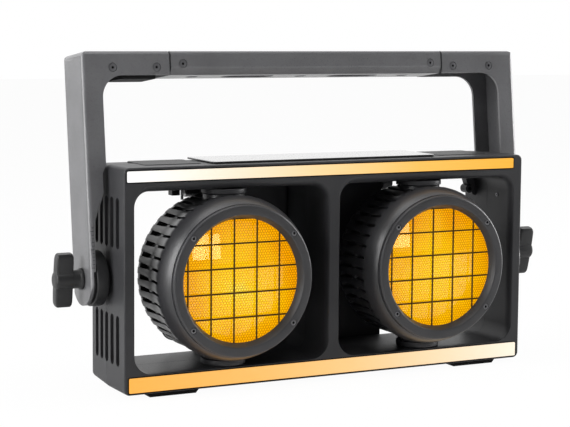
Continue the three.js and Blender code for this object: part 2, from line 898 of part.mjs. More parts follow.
const leftLamp = new THREE.Group()
leftLamp.position.set(-lampX, 0, lampZ)
const rightLamp = new THREE.Group()
rightLamp.position.set(lampX, 0, lampZ)
light.add(leftLamp, rightLamp)

const headSolid = lampHead()
const topDisc = swivelDisc(openingTopRear)
const bottomDisc = swivelDisc(openingBottomRear).rotateY(Math.PI)
const lead = lampLead()
const gland = sideGland()
for (const [side, group] of [['left', leftLamp], ['right', rightLamp]]) {
  const name = 'lamp_' + side + '_'
  const handed = solid => side === 'left' ? solid : mirrored(solid)
  addPart(name + 'head', headSolid, lampFinish, group)
  addPart(name + 'front_ring', frontRing(), ringFinish, group)
  addPart(name + 'grille', wireGrille(), wireFinish, group)
  addPart(name + 'lens', lens(), lensFinish, group)
  addPart(name + 'reflector', reflector(), mirrorFinish, group)
  addPart(name + 'module', lampModule(), emitterFinish, group)
  addPart(name + 'rear_cover', rearCover(), lampFinish, group)
  addPart(name + 'top_swivel', moved(topDisc, 0, lampPivotY, 0), frameFinish, group)
  addPart(name + 'bottom_swivel', moved(bottomDisc, 0, lampPivotY, 0), frameFinish, group)
  addPart(name + 'lead', handed(lead), rubberFinish, group)
}

// Yoke, in its own frame with the tilt axis at the origin
function yokeArm() {
  const innerX = yokeOuterX - flangeWidth
  const barLow = yokeTop - barHeight
  const outline = new THREE.Shape()
  outline.moveTo(yokeOuterX, -yokeHalfDepth)
  outline.lineTo(yokeOuterX, yokeTop - yokeOuterCorner)
  outline.absarc(yokeOuterX - yokeOuterCorner, yokeTop - yokeOuterCorner, yokeOuterCorner, 0, Math.PI / 2)
  outline.lineTo(barJointX, yokeTop)
  outline.lineTo(barJointX, barLow)
  outline.lineTo(innerX - yokeInnerCorner, barLow)
  outline.absarc(innerX - yokeInnerCorner, barLow - yokeInnerCorner, yokeInnerCorner, Math.PI / 2, 0, true)
  outline.lineTo(innerX, flangeStepHigh)
  outline.lineTo(innerX + flangeStep, flangeStepLow)
  outline.lineTo(innerX + flangeStep, flangeTaperHigh)
  outline.lineTo(yokeOuterX - lipWidth, flangeTaperLow)
  outline.lineTo(yokeOuterX - lipWidth, lipLow)
  outline.lineTo(yokeOuterX - plate, lipLow)
  outline.lineTo(yokeOuterX - plate, -yokeHalfDepth)
  const front = alongY(outline, -yokeHalfDepth, yokeHalfDepth)

  const foldedX = barJointX - overrun
  const plan = new THREE.Shape()
  plan.moveTo(foldedX, -yokeHalfDepth)
  plan.lineTo(yokeOuterX - foldRadius, -yokeHalfDepth)
  plan.absarc(yokeOuterX - foldRadius, -yokeHalfDepth + foldRadius, foldRadius, -Math.PI / 2, 0)
  plan.absarc(yokeOuterX - foldRadius, yokeHalfDepth - foldRadius, foldRadius, 0, Math.PI / 2)
  plan.lineTo(foldedX, yokeHalfDepth)
  const folds = alongZ(plan, -yokeHalfDepth - overrun, yokeTop + overrun)

  const side = new THREE.Shape()
  side.absarc(0, 0, yokeHalfDepth, Math.PI, Math.PI * 2)
  side.absarc(yokeHalfDepth - foldRadius, yokeTop - foldRadius, foldRadius, 0, Math.PI / 2)
  side.absarc(-yokeHalfDepth + foldRadius, yokeTop - foldRadius, foldRadius, Math.PI / 2, Math.PI)
  const ends = alongX(side, foldedX, yokeOuterX + overrun)

  const channel = alongY(roundedOutline(
    barJointX - overrun * 2, yokeOuterX - plate, -yokeHalfDepth - overrun, yokeTop - plate, foldRadius - plate,
  ), -yokeHalfDepth + plate, yokeHalfDepth - plate)
  const bore = rodAlongX(studRadius + runningGap, yokeOuterX - plate - overrun, yokeOuterX + overrun)
  return cut(common(front, folds, ends), channel, bore)
}

function crossBar() {
  const high = yokeTop
  const low = yokeTop - barHeight
  const section = (inset, bevelInset) => polygonOutline([
    [-yokeHalfDepth + barBevelDepth + bevelInset, low + inset],
    [yokeHalfDepth - barBevelDepth - bevelInset, low + inset],
    [yokeHalfDepth - inset, low + barBevelHeight + bevelInset / 2],
    [yokeHalfDepth - inset, high - foldRadius],
    [yokeHalfDepth - foldRadius, high - inset],
    [-yokeHalfDepth + foldRadius, high - inset],
    [-yokeHalfDepth + inset, high - foldRadius],
    [-yokeHalfDepth + inset, low + barBevelHeight + bevelInset / 2],
  ])
  const end = barJointX - barJointGap
  const outer = alongX(section(0, 0), -end, end)
  const inner = alongX(section(plate, plate / 2), -end - overrun, end + overrun)
  const holes = []
  const below = low - overrun
  const above = high + overrun
  for (const x of [-clampHoleX, 0, clampHoleX]) {
    holes.push(moved(rodAlongZ(clampHoleRadius, below, above), x, 0, 0))
  }
  for (const x of [-slotHoleX, slotHoleX]) {
    const slot = roundedOutline(
      x - slotHoleHalfLength, x + slotHoleHalfLength, -slotHoleRadius, slotHoleRadius, slotHoleRadius)
    holes.push(alongZ(slot, below, above))
  }
  return cut(outer, inner, ...holes)
}

function barJoiner() {
  const top = yokeTop - plate - seatGap
  const outline = roundedOutline(joinerInnerX, joinerOuterX, -joinerHalfDepth, joinerHalfDepth, foldRadius)
  return alongZ(outline, top - joinerThickness, top, smallCornerFaces)
}

const rightArm = yokeArm()
addPart('yoke_arm_right', rightArm, yokeFinish, yoke)
addPart('yoke_arm_left', mirrored(rightArm), yokeFinish, yoke)
addPart('cross_bar', crossBar(), yokeFinish, yoke)
addPart('bar_joiner_right', barJoiner(), steelFinish, yoke)
addPart('bar_joiner_left', mirrored(barJoiner()), steelFinish, yoke)

// Tilt pivots
function frictionDisc() {
  const inner = frameWidth / 2 + seatGap
  const shoulder = inner + frictionCollar
  const outer = yokeOuterX - plate - seatGap
  const bore = studRadius + runningGap
  return turnedAboutX([
    [bore, inner],
    [frictionCollarRadius, inner],
    [frictionCollarRadius, shoulder],
    [frictionRadius - frictionEdge, shoulder],
    [frictionRadius, shoulder + frictionEdge],
    [frictionRadius, outer - frictionStep - frictionEdge],
    [frictionRadius - frictionEdge, outer - frictionStep],
    [frictionStepRadius, outer - frictionStep],
    [frictionStepRadius, outer],
    [bore, outer],
    [bore, inner],
  ], plainFaces)
}

function pivotStud() {
  const tip = frameWidth / 2 - studTipInset
  const end = yokeOuterX + knobNeckLength + knobPocket - seatGap
  return turnedAboutX([
    [0, tip], [studRadius - overrun, tip], [studRadius, tip + overrun], [studRadius, end], [0, end]], smallRoundFaces)
}

// Winged knob: a neck against the arm, a hub and a flat bar across it with rounded corners
function knob() {
  const neckStart = yokeOuterX + seatGap
  const headStart = yokeOuterX + knobNeckLength
  const headEnd = headStart + knobLength
  const halfThickness = knobThickness / 2
  const face = roundedOutline(headStart, headEnd, -knobWing, knobWing, knobCorner)
  const end = roundedOutline(-halfThickness, halfThickness, -knobWing, knobWing, knobTipCorner)
  const sheet = alongY(face, -halfThickness, halfThickness, smallCornerFaces)
  const wings = common(sheet, alongX(end, headStart, headEnd))
  const hub = turnedAboutX([
    [0, headStart],
    [knobHubRadius, headStart],
    [knobHubRadius, headEnd + knobHubProud - knobHubEdge],
    [knobHubRadius - knobHubEdge, headEnd + knobHubProud],
    [0, headEnd + knobHubProud],
  ], plainFaces)
  const neck = rodAlongX(knobNeckRadius, neckStart, headStart + overrun)
  const pocket = rodAlongX(studRadius + seatGap, neckStart - overrun, headStart + knobPocket)
  return cut(join(wings, hub, neck), pocket)
}

for (const [side, handed, turn] of [['right', solid => solid, knobTurnRight], ['left', mirrored, knobTurnLeft]]) {
  addPart('friction_disc_' + side, moved(handed(frictionDisc()), 0, pivotY, pivotZ), plasticFinish)
  addPart('pivot_stud_' + side, moved(handed(pivotStud()), 0, pivotY, pivotZ), steelFinish)
  addPart('knob_' + side, moved(handed(knob()).rotateX(turn), 0, pivotY, pivotZ), plasticFinish)
}

// Control housing: a tray against the frame and a tapered cover that carries the controls
function controlRectangle(y, inset, insetX, insetZ, radius) {
  return {
    y,
    left: -trayHalfWidth + inset + insetX,
    right: trayHalfWidth - inset - insetX,
    low: trayBottom + inset + insetZ,
    high: trayTop - inset - insetZ,
    radius,
  }
}
const trayFront = frameDepth + seatGap
const trayRear = trayFront + trayDepth
const coverFront = trayRear + seatGap
const coverRear = coverFront + coverShellDepth
const panelInside = coverRear - coverShellWall

function controlTray() {
  const outer = lofted([
    controlRectangle(trayFront, 0, 0, 0, trayCorner),
    controlRectangle(trayRear, 0, 0, 0, trayCorner),
  ])
  const pocket = lofted([
    controlRectangle(trayFront + trayWall, trayWall, 0, 0, trayCorner - trayWall),
    controlRectangle(trayRear + overrun, trayWall, 0, 0, trayCorner - trayWall),
  ], smallCornerFaces)
  return cut(outer, pocket)
}

function displayOutline(grow) {
  const halfWidth = displayWidth / 2 + grow
  const halfHeight = displayHeight / 2 + grow
  return roundedOutline(-halfWidth, halfWidth, displayZ - halfHeight, displayZ + halfHeight, displayRimWidth + grow)
}
const buttonX = index => (index - (buttonCount - 1) / 2) * buttonPitch
const socketX = index => (index - (socketCount - 1) / 2) * socketPitch

function controlCover() {
  const outer = lofted([
    controlRectangle(coverFront, 0, 0, 0, trayCorner),
    controlRectangle(coverRear - coverShellWall, 0, coverShellTaperX, coverShellTaperZ, trayCorner),
    controlRectangle(coverRear, coverShellWall, coverShellTaperX, coverShellTaperZ, trayCorner - coverShellWall),
  ])
  const hollow = lofted([
    controlRectangle(coverFront - overrun, coverShellWall, 0, 0, trayCorner - coverShellWall),
    controlRectangle(panelInside, coverShellWall, coverShellTaperX, coverShellTaperZ, trayCorner - coverShellWall),
  ], smallCornerFaces)
  const behind = coverRear + overrun
  const within = panelInside - overrun
  const tools = [hollow, alongY(displayOutline(-displayLip), within, behind, smallCornerFaces)]
  tools.push(alongY(displayOutline(seatGap), coverRear - displayThickness / 2, behind, smallCornerFaces))
  for (let i = 0; i < buttonCount; i++) {
    tools.push(moved(rodAlongY(buttonRadius + runningGap / 2, within, behind), buttonX(i), 0, buttonZ))
  }
  for (let i = 0; i < socketCount; i++) {
    tools.push(moved(rodAlongY(socketHoleRadius + seatGap, within, behind), socketX(i), 0, socketZ))
  }
  tools.push(moved(rodAlongY(fuseRadius + seatGap, within, behind), fuseX, 0, fuseZ))
  return cut(outer, ...tools)
}

function displayWindow() {
  const seat = coverRear - displayThickness / 2 + seatGap
  const face = alongY(displayOutline(0), seat, seat + displayThickness, smallCornerFaces)
  const back = alongY(displayOutline(-displayLip - seatGap), panelInside - seatGap, seat + overrun, smallCornerFaces)
  return join(face, back)
}

function menuButton() {
  const flangeRear = panelInside - seatGap
  const flangeFront = flangeRear - buttonFlangeThickness
  const end = coverRear + buttonProud
  return turned([
    [0, flangeFront],
    [buttonRadius + buttonFlange, flangeFront],
    [buttonRadius + buttonFlange, flangeRear],
    [buttonRadius, flangeRear],
    [buttonRadius, end - overrun],
    [buttonRadius - overrun, end],
    [0, end],
  ], smallRoundFaces)
}

function controlBoard() {
  const rear = panelInside - seatGap - buttonFlangeThickness - buttonTravel - seatGap
  const high = displayZ + displayHeight
  const outline = roundedOutline(-boardWidth / 2, boardWidth / 2, high - boardHeight, high, displayRimWidth)
  const plateSolid = alongY(outline, rear - boardThickness, rear, smallCornerFaces)
  const postRadius = displayRimWidth * 2
  const posts = []
  for (const x of [-1, 1]) {
    for (const z of [high - postRadius * 2, high - boardHeight + postRadius * 2]) {
      const post = rodAlongY(postRadius, rear - boardThickness / 2, panelInside - seatGap, cornerFaces * 2)
      posts.push(moved(post, x * (boardWidth / 2 - postRadius * 2), 0, z))
    }
  }
  return join(plateSolid, ...posts)
}

function socket() {
  const flangeFront = coverRear + seatGap
  const flangeRear = flangeFront + socketFlangeThickness
  const halfWidth = socketFlangeWidth / 2
  const halfHeight = socketFlangeHeight / 2
  const flange = alongY(
    roundedOutline(-halfWidth, halfWidth, -halfHeight, halfHeight, socketFlangeCorner),
    flangeFront, flangeRear, smallCornerFaces)
  const barrel = rodAlongY(socketHoleRadius, flangeRear - socketBarrelLength, flangeRear - overrun)
  const bore = rodAlongY(socketBore, flangeRear - socketBoreDepth, flangeRear + overrun)
  return cut(join(flange, barrel), bore)
}

function fuseHolder() {
  const capFront = coverRear + seatGap
  return turned([
    [0, capFront - fuseBodyLength],
    [fuseRadius, capFront - fuseBodyLength],
    [fuseRadius, capFront],
    [fuseCapRadius, capFront],
    [fuseCapRadius, capFront + fuseCapLength - overrun],
    [fuseCapRadius - overrun, capFront + fuseCapLength],
    [0, capFront + fuseCapLength],
  ], smallRoundFaces)
}

function safetyEyelet() {
  const baseFront = coverRear + seatGap
  const baseRear = baseFront + eyeletBaseThickness
  const base = rodAlongY(eyeletBaseRadius, baseFront, baseRear)
  const ring = new THREE.TorusGeometry(eyeletRingRadius, eyeletWireRadius, cornerFaces * 2, smallRoundFaces)
  ring.translate(0, baseRear + eyeletRingRadius, 0)
  return join(base, ring)
}

function powerSupply() {
  const front = trayFront + trayWall + seatGap
  const outline = roundedOutline(
    -supplyWidth / 2, supplyWidth / 2, supplyZ - supplyHeight / 2, supplyZ + supplyHeight / 2, supplyCorner)
  return alongY(outline, front, front + supplyDepth - trayWall, smallCornerFaces)
}

addPart('control_tray', controlTray(), frameFinish)
addPart('control_cover', controlCover(), frameFinish)
addPart('display_window', displayWindow(), glossFinish)
for (let i = 0; i < buttonCount; i++) {
  addPart('menu_button_' + (i + 1), moved(menuButton(), buttonX(i), 0, 0).translate(0, 0, buttonZ), rubberFinish)
}
addPart('control_board', controlBoard(), boardFinish)
const socketNames = ['power_in', 'power_out', 'data_in', 'data_out']
socketNames.forEach((name, i) => {
  addPart(name + '_socket', moved(socket(), socketX(i), 0, socketZ), plasticFinish)
})
addPart('fuse_holder', moved(fuseHolder(), fuseX, 0, fuseZ), plasticFinish)
addPart('safety_eyelet', moved(safetyEyelet(), eyeletX, 0, fuseZ), steelFinish)
addPart('power_supply', powerSupply(), steelFinish)
const glandMiddle = (trayFront + trayRear) / 2
addPart('gland_left', moved(gland, -lampX, glandMiddle, sideGlandZ), grayPlasticFinish)
addPart('gland_right', moved(mirrored(gland), lampX, glandMiddle, sideGlandZ), grayPlasticFinish)

// Origin: the middle of the box that the light fills, at floor level
light.updateMatrixWorld(true)
const filled = new THREE.Box3().setFromObject(light)
light.position.set(0, -(filled.min.y + filled.max.y) / 2, -filled.min.z)
light.updateMatrixWorld(true)

export default light
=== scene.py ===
import json
import math

import bmesh
import bpy
import numpy as np
from mathutils import Matrix, Vector

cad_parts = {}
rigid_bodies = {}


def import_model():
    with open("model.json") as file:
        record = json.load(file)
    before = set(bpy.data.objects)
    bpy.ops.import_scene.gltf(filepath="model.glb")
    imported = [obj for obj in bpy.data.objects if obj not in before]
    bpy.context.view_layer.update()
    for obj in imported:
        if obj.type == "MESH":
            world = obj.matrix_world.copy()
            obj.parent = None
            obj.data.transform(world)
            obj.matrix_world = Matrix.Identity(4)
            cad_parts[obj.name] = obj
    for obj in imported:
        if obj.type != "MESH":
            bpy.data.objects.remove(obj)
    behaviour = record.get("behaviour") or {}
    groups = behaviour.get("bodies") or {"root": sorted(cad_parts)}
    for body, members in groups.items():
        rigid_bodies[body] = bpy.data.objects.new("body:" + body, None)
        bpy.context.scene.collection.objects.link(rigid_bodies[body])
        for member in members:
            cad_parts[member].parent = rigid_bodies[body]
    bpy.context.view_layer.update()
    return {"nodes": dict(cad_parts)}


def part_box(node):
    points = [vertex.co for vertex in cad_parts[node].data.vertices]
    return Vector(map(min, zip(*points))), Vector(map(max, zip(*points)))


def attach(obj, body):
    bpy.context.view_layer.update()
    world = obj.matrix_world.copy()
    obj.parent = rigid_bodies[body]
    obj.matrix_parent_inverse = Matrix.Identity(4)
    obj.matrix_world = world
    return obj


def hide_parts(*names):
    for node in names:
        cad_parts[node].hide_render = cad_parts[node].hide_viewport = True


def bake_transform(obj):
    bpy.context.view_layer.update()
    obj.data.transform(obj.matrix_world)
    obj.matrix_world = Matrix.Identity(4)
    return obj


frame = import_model()
shellLow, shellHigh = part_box("front_frame")
# Shapes are drawn in millimetres: y from the front face, z from the middle of the frame
origin = np.array([0, shellLow.y, (shellLow.z + shellHigh.z) / 2])
bpy.context.scene.view_settings.view_transform = "Standard"
print("frame loaded:", len(frame["nodes"]), "nodes")

past = 1  # how far a cut runs beyond the surface
sliver = 0.01  # what a round end keeps straight


# points and faces

def gridFaces(rows, columns, closedRows=False, closedColumns=False):
    # quads between neighbouring rows and columns, wrapped round where the grid is closed
    row, column = np.meshgrid(
        np.arange(rows if closedRows else rows - 1),
        np.arange(columns if closedColumns else columns - 1), indexing="ij")
    up, over = (row + 1) % rows, (column + 1) % columns
    corners = [row * columns + column, row * columns + over, up * columns + over, up * columns + column]
    return np.stack(corners, axis=-1).reshape(-1, 4)


def quarter(steps):
    return np.linspace(0, math.pi / 2, steps)


def span(side, near, far):
    # the ends of a stretch on one side of the middle, in rising order
    return sorted([side * near, side * far])


def softened(path, cutBack, steps=4):
    # each corner of a closed path gives way to a parabola between points set back by cutBack
    path = np.asarray(path, float)
    before, after = np.roll(path, 1, 0) - path, np.roll(path, -1, 0) - path
    lengthBefore = np.maximum(np.linalg.norm(before, axis=1), 1e-9)
    lengthAfter = np.maximum(np.linalg.norm(after, axis=1), 1e-9)
    reach = np.minimum(np.broadcast_to(cutBack, len(path)), 0.49 * np.minimum(lengthBefore, lengthAfter))
    start = path + before * (reach / lengthBefore)[:, None]
    end = path + after * (reach / lengthAfter)[:, None]
    t = np.linspace(0, 1, steps + 1)[None, :, None]
    curve = (1 - t) ** 2 * start[:, None] + 2 * t * (1 - t) * path[:, None] + t ** 2 * end[:, None]
    return curve.reshape(-1, path.shape[1])


def roundedRectangle(left, right, low, high, radius, steps=8):
    # four quarter circles, each about its own corner centre, walked round in turn
    centres = np.array([[right - radius, low + radius], [right - radius, high - radius],
                        [left + radius, high - radius], [left + radius, low + radius]])
    angle = math.pi / 2 * (np.arange(4)[:, None] - 1 + np.linspace(0, 1, steps + 1)[None, :])
    quarters = np.stack([np.cos(angle), np.sin(angle)], axis=-1) * radius
    return (centres[:, None] + quarters).reshape(-1, 2)


def polygon(x, z, radius, count, turn=0.0):
    angle = np.arange(count) * 2 * math.pi / count + turn
    return np.stack([x + radius * np.cos(angle), z + radius * np.sin(angle)], axis=-1)


def arc(x, z, radius, start, end, steps=8):
    turn = np.radians(np.linspace(start, end, steps + 1))
    return np.stack([x + radius * np.cos(turn), z + radius * np.sin(turn)], axis=-1)


def along(outline, axis, at):
    # a flat outline laid across one axis: y takes (x, z), x takes (y, z), z takes (x, y)
    outline = np.asarray(outline, float)
    place = np.broadcast_to(at, len(outline))
    first, second = outline[:, 0], outline[:, 1]
    columns = {"y": (first, place, second), "x": (place, first, second), "z": (first, second, place)}[axis]
    return np.stack(columns, axis=-1)


def meshFrom(points, *faceSets):
    # one mesh from an array of points and arrays of faces, merged where points meet, facing out
    mesh = bpy.data.meshes.new("shape")
    faceSets = [np.atleast_2d(f) for f in faceSets]
    corners = np.concatenate([f.ravel() for f in faceSets]).astype(np.int32)
    sizes = np.concatenate([np.full(len(f), f.shape[1]) for f in faceSets])
    mesh.vertices.add(len(points))
    mesh.loops.add(len(corners))
    mesh.polygons.add(len(sizes))
    mesh.vertices.foreach_set("co", (np.asarray(points) / 1000 + origin).astype(np.float32).ravel())
    mesh.loops.foreach_set("vertex_index", corners)
    mesh.polygons.foreach_set("loop_start", np.concatenate([[0], np.cumsum(sizes)[:-1]]).astype(np.int32))
    mesh.update(calc_edges=True)
    return cleaned(mesh)


def cleaned(mesh, flatten=False):
    work = bmesh.new()
    work.from_mesh(mesh)
    bmesh.ops.remove_doubles(work, verts=work.verts, dist=2e-6)
    bmesh.ops.dissolve_degenerate(work, edges=work.edges, dist=1e-6)
    if flatten:
        bmesh.ops.dissolve_limit(work, angle_limit=math.radians(0.4), verts=work.verts, edges=work.edges)
    bmesh.ops.recalc_face_normals(work, faces=work.faces)
    work.to_mesh(mesh)
    work.free()
    return mesh


def stacked(rings):
    # a closed skin through rings of equal length that stand one behind the other
    rings = np.asarray(rings, float)
    count, length = rings.shape[:2]
    last = (count - 1) * length
    caps = np.stack([np.arange(length)[::-1], last + np.arange(length)])
    return meshFrom(rings.reshape(-1, 3), gridFaces(count, length, closedColumns=True), caps)


def prism(outline, axis, low, high):
    return stacked([along(outline, axis, low), along(outline, axis, high)])


def slab(axis, low, high, *sizes):
    return prism(roundedRectangle(*sizes), axis, low, high)


def slabAbout(x, z, w, h, corner, axis, low, high, steps=8):
    return slab(axis, low, high, x - w, x + w, z - h, z + h, corner, steps)


def roundPlug(x, z, radius, axis, low, high, steps=8):
    return slabAbout(x, z, radius, radius, radius - sliver, axis, low, high, steps)


def revolved(profile, axis="y", centre=(0, 0, 0), steps=96):
    # every (radius, distance) of the profile is carried round the axis; a ring's profile is closed,
    # and a solid's runs from the axis back to the axis
    profile = np.asarray(profile, float)
    angle = np.linspace(0, 2 * math.pi, steps, endpoint=False)
    radius = profile[:, :1]
    first, second = radius * np.cos(angle), radius * np.sin(angle)
    distance = np.broadcast_to(profile[:, 1:], first.shape)
    order = {"y": (first, distance, second), "x": (distance, first, second), "z": (first, second, distance)}[axis]
    points = np.stack(order, axis=-1).reshape(-1, 3) + np.asarray(centre, float)
    solid = max(profile[0, 0], profile[-1, 0]) < 1e-6
    return meshFrom(points, gridFaces(len(profile), steps, not solid, True))


def turned(profile, cutBack, axis, centre, steps, rounding=3):
    return revolved(softened(profile, cutBack, rounding), axis, centre, steps)


def rodProfile(radius, low, high):
    return [(0, low), (radius, low), (radius, high), (0, high)]


def rod(radius, low, high, axis, centre, steps):
    return revolved(rodProfile(radius, low, high), axis, centre, steps)


def tube(path, radius, sides=12):
    # a circle carried along a path: at each point it stands across the tangent
    path = np.asarray(path, float)
    tangent = np.gradient(path, axis=0)
    tangent /= np.linalg.norm(tangent, axis=1)[:, None]
    helper = np.array([0.13, 0.31, 0.94]) if abs(tangent[0, 2]) < 0.8 else np.array([0.94, 0.31, 0.13])
    across = np.cross(tangent, helper)
    across /= np.linalg.norm(across, axis=1)[:, None]
    upward = np.cross(tangent, across)
    angle = np.linspace(0, 2 * math.pi, sides, endpoint=False)[None, :, None]
    return stacked(path[:, None] + radius * (np.cos(angle) * across[:, None] + np.sin(angle) * upward[:, None]))


def joined(*meshes):
    # several closed shapes in one mesh
    work = bmesh.new()
    for mesh in meshes:
        work.from_mesh(mesh)
    whole = bpy.data.meshes.new("shape")
    work.to_mesh(whole)
    work.free()
    return whole


def drawnPoints(mesh):
    points = np.empty(len(mesh.vertices) * 3, np.float32)
    mesh.vertices.foreach_get("co", points)
    return (points.reshape(-1, 3) - origin) * 1000


def reshaped(mesh, change):
    # a copy with all its points moved at once, in the drawing's millimetres
    result = mesh.copy()
    moved = change(drawnPoints(mesh)) / 1000 + origin
    result.vertices.foreach_set("co", moved.astype(np.float32).ravel())
    result.update()
    return result


def mirrored(mesh):
    other = reshaped(mesh, lambda points: points * np.array([-1, 1, 1]))
    other.flip_normals()
    return other


def handed(mesh, side):
    return mesh if side > 0 else mirrored(mesh)


def placed(name, data):
    made = bpy.data.objects.new(name, data)
    bpy.context.collection.objects.link(made)
    return made


def combined(base, tools, operation="DIFFERENCE"):
    # solid arithmetic, one tool after the other
    body = placed("work", base)
    for toolMesh in tools:
        tool = placed("tool", toolMesh)
        step = body.modifiers.new("step", "BOOLEAN")
        step.operation, step.object, step.solver = operation, tool, "MANIFOLD"
        result = bpy.data.meshes.new_from_object(body.evaluated_get(bpy.context.evaluated_depsgraph_get()))
        body.modifiers.clear()
        body.data = result
        bpy.data.objects.remove(tool)
    result = cleaned(body.data, flatten=True)
    bpy.data.objects.remove(body)
    return result


def piece(name, mesh, material, stands=None, slotName=None, body="housing", bevel=0.0, smooth=32):
    # puts a finished mesh in the scene as one piece that rides on a body
    mesh.name = name
    made = placed(name, mesh)
    mesh.materials.clear()
    mesh.materials.append(materials[material])
    mesh.shade_smooth()
    mesh.set_sharp_from_angle(angle=math.radians(smooth))
    if bevel:
        edge = made.modifiers.new("edge", "BEVEL")
        edge.width, edge.segments, edge.limit_method = bevel / 1000, 2, "ANGLE"
        edge.angle_limit, edge.harden_normals = math.radians(smooth), False
        made.modifiers.new("even", "WEIGHTED_NORMAL").keep_sharp = True
    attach(made, body)
    if stands:
        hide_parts(stands)
    return made


# shader nodes

def linear(hexColour):
    value = np.array([int(hexColour[i:i + 2], 16) for i in (1, 3, 5)]) / 255
    value = np.where(value <= 0.04045, value / 12.92, ((value + 0.055) / 1.055) ** 2.4)
    return (*[float(v) for v in value], 1.0)


white, black = linear("#ffffff"), linear("#000000")


def fed(tree, made, inputs):
    # an input takes either a value or the socket that feeds it
    for key, value in inputs.items():
        if isinstance(value, bpy.types.NodeSocket):
            tree.links.new(value, made.inputs[key])
        else:
            made.inputs[key].default_value = value
    return made


def newNode(tree, kind, inputs, **settings):
    made = tree.nodes.new("ShaderNode" + kind)
    for key, value in settings.items():
        setattr(made, key, value)
    return fed(tree, made, inputs)


def newMaterial(name):
    material = bpy.data.materials.new(name)
    material.use_nodes = True
    tree = material.node_tree
    tree.nodes.clear()
    shader = newNode(tree, "BsdfPrincipled", {})
    output = newNode(tree, "OutputMaterial", {"Surface": shader.outputs["BSDF"]})
    return material, tree, shader, output, newNode(tree, "TexCoord", {}).outputs["Object"]


def noise(tree, place, scale, detail):
    return newNode(tree, "TexNoise", {"Scale": scale, "Detail": detail, "Vector": place}).outputs["Fac"]


def between(tree, factor, low, high, fromLow=0.3, fromHigh=0.7):
    limits = {"Value": factor, "From Min": fromLow, "From Max": fromHigh, "To Min": low, "To Max": high}
    return newNode(tree, "MapRange", limits).outputs["Result"]


def ramp(tree, factor, stops):
    made = newNode(tree, "ValToRGB", {"Fac": factor})
    elements = made.color_ramp.elements
    for element, (share, colour) in zip(elements, (stops[0], stops[-1])):
        element.position, element.color = share, colour
    for share, colour in stops[1:-1]:
        elements.new(share).color = colour
    return made.outputs["Color"]


def mixed(tree, factor, first, second):
    return newNode(tree, "Mix", {"Factor": factor, "A": first, "B": second}, data_type="RGBA").outputs["Result"]


def sums(tree, operation, first, second):
    return newNode(tree, "Math", {0: first, 1: second}, operation=operation).outputs[0]


def eitherShader(tree, factor, first, second):
    return newNode(tree, "MixShader", {"Fac": factor, 1: first, 2: second}).outputs[0]


# finishes

surface = {"tone": 0.12, "patch": 28, "patchDetail": 4, "grainDetail": 2, "gloss": 0.06, "depth": 0.0002}
# colour, roughness, metallic, scale and strength of the grain, specular level
finishes = {
    "frame": ("#313133", 0.46, 0.0, 1500, 0.08, 0.28),
    "yoke": ("#606062", 0.31, 0.0, 1300, 0.09, 0.65),
    "casting": ("#2e2e30", 0.34, 0.0, 1300, 0.14, 0.5),
    "ring": ("#343436", 0.38, 0.0, 1300, 0.12, 0.4),
    "rubber": ("#1b1b1c", 0.80, 0.0, 900, 0.20, 0.2),
    "black": ("#060606", 0.80, 0.0, 900, 0.10, 0.1),
    "pad": ("#1d1d1e", 0.5, 0.0, 900, 0.10, 0.3),
    "mark": ("#2c2c2e", 0.5, 0.0, 900, 0.05, 0.5),
    "blackPlastic": ("#29292a", 0.42, 0.0, 1800, 0.12, 0.3),
    "grayPlastic": ("#8f8f90", 0.50, 0.0, 1500, 0.08, 0.4),
    "gloss": ("#1b1b1d", 0.12, 0.0, 600, 0.02, 1.0),
    "steel": ("#9a9a9c", 0.34, 0.9, 900, 0.06, 0.5),
    "darkSteel": ("#3c3c3e", 0.38, 0.8, 900, 0.06, 0.5),
    "screw": ("#77777a", 0.36, 0.7, 900, 0.06, 0.5),
    "sheetCase": ("#a6a6a8", 0.40, 0.8, 500, 0.06, 0.5),
    "brass": ("#b59a52", 0.34, 0.9, 600, 0.05, 0.5),
    "mirror": ("#d0d0d0", 0.12, 1.0, 300, 0.02, 0.5),
    "board": ("#1f5a3a", 0.50, 0.0, 300, 0.10, 0.4),
    "wire": ("#4a3208", 0.45, 0.2, 700, 0.1, 0.25),
    "emitter": ("#e8cc55", 0.5, 0.0, 300, 0.1, 0.5),
}


def finishMaterial(name, colour, roughness, metallic, grain, bump, specular):
    # moulded, cast or painted surface: a fine grain, slow changes of tone and of gloss
    material, tree, shader, _, place = newMaterial(name)
    base = np.array(linear(colour))
    dark, light = base * (1 - surface["tone"]), np.minimum(base * (1 + surface["tone"]), 1)
    dark[3] = light[3] = 1
    slow = between(tree, noise(tree, place, surface["patch"], surface["patchDetail"]), 0, 1)
    fine = noise(tree, place, grain, surface["grainDetail"])
    relief = newNode(tree, "Bump", {"Strength": bump, "Distance": surface["depth"], "Height": fine})
    fed(tree, shader, {
        "Base Color": ramp(tree, slow, [(0, tuple(dark)), (1, tuple(light))]),
        "Roughness": between(tree, fine, roughness - surface["gloss"], roughness + surface["gloss"]),
        "Normal": relief.outputs["Normal"], "Metallic": metallic, "Specular IOR Level": specular})
    return material


materials = {key: finishMaterial(key, *values) for key, values in finishes.items()}


def litShader(tree, shader, colour, sizes, more):
    # a lit surface: it glows in a colour and reflects a darker tone of it
    fed(tree, shader, {"Emission Color": colour, "Emission Strength": sizes["glow"],
                       "Base Color": mixed(tree, sizes["shade"], colour, black), **more})


def linearStops(stops):
    return [(share, linear(colour)) for share, colour in stops]


# camera, room and lights

camera = {"yaw": 27.33, "pitch": 5.65, "roll": 0.46, "offset": (51.3, 1737.3, -82.1), "focalPixels": 1672,
          "across": 285.0, "down": 190.0, "frameWide": 570, "frameHigh": 427, "sensor": 36, "clip": (0.05, 60)}


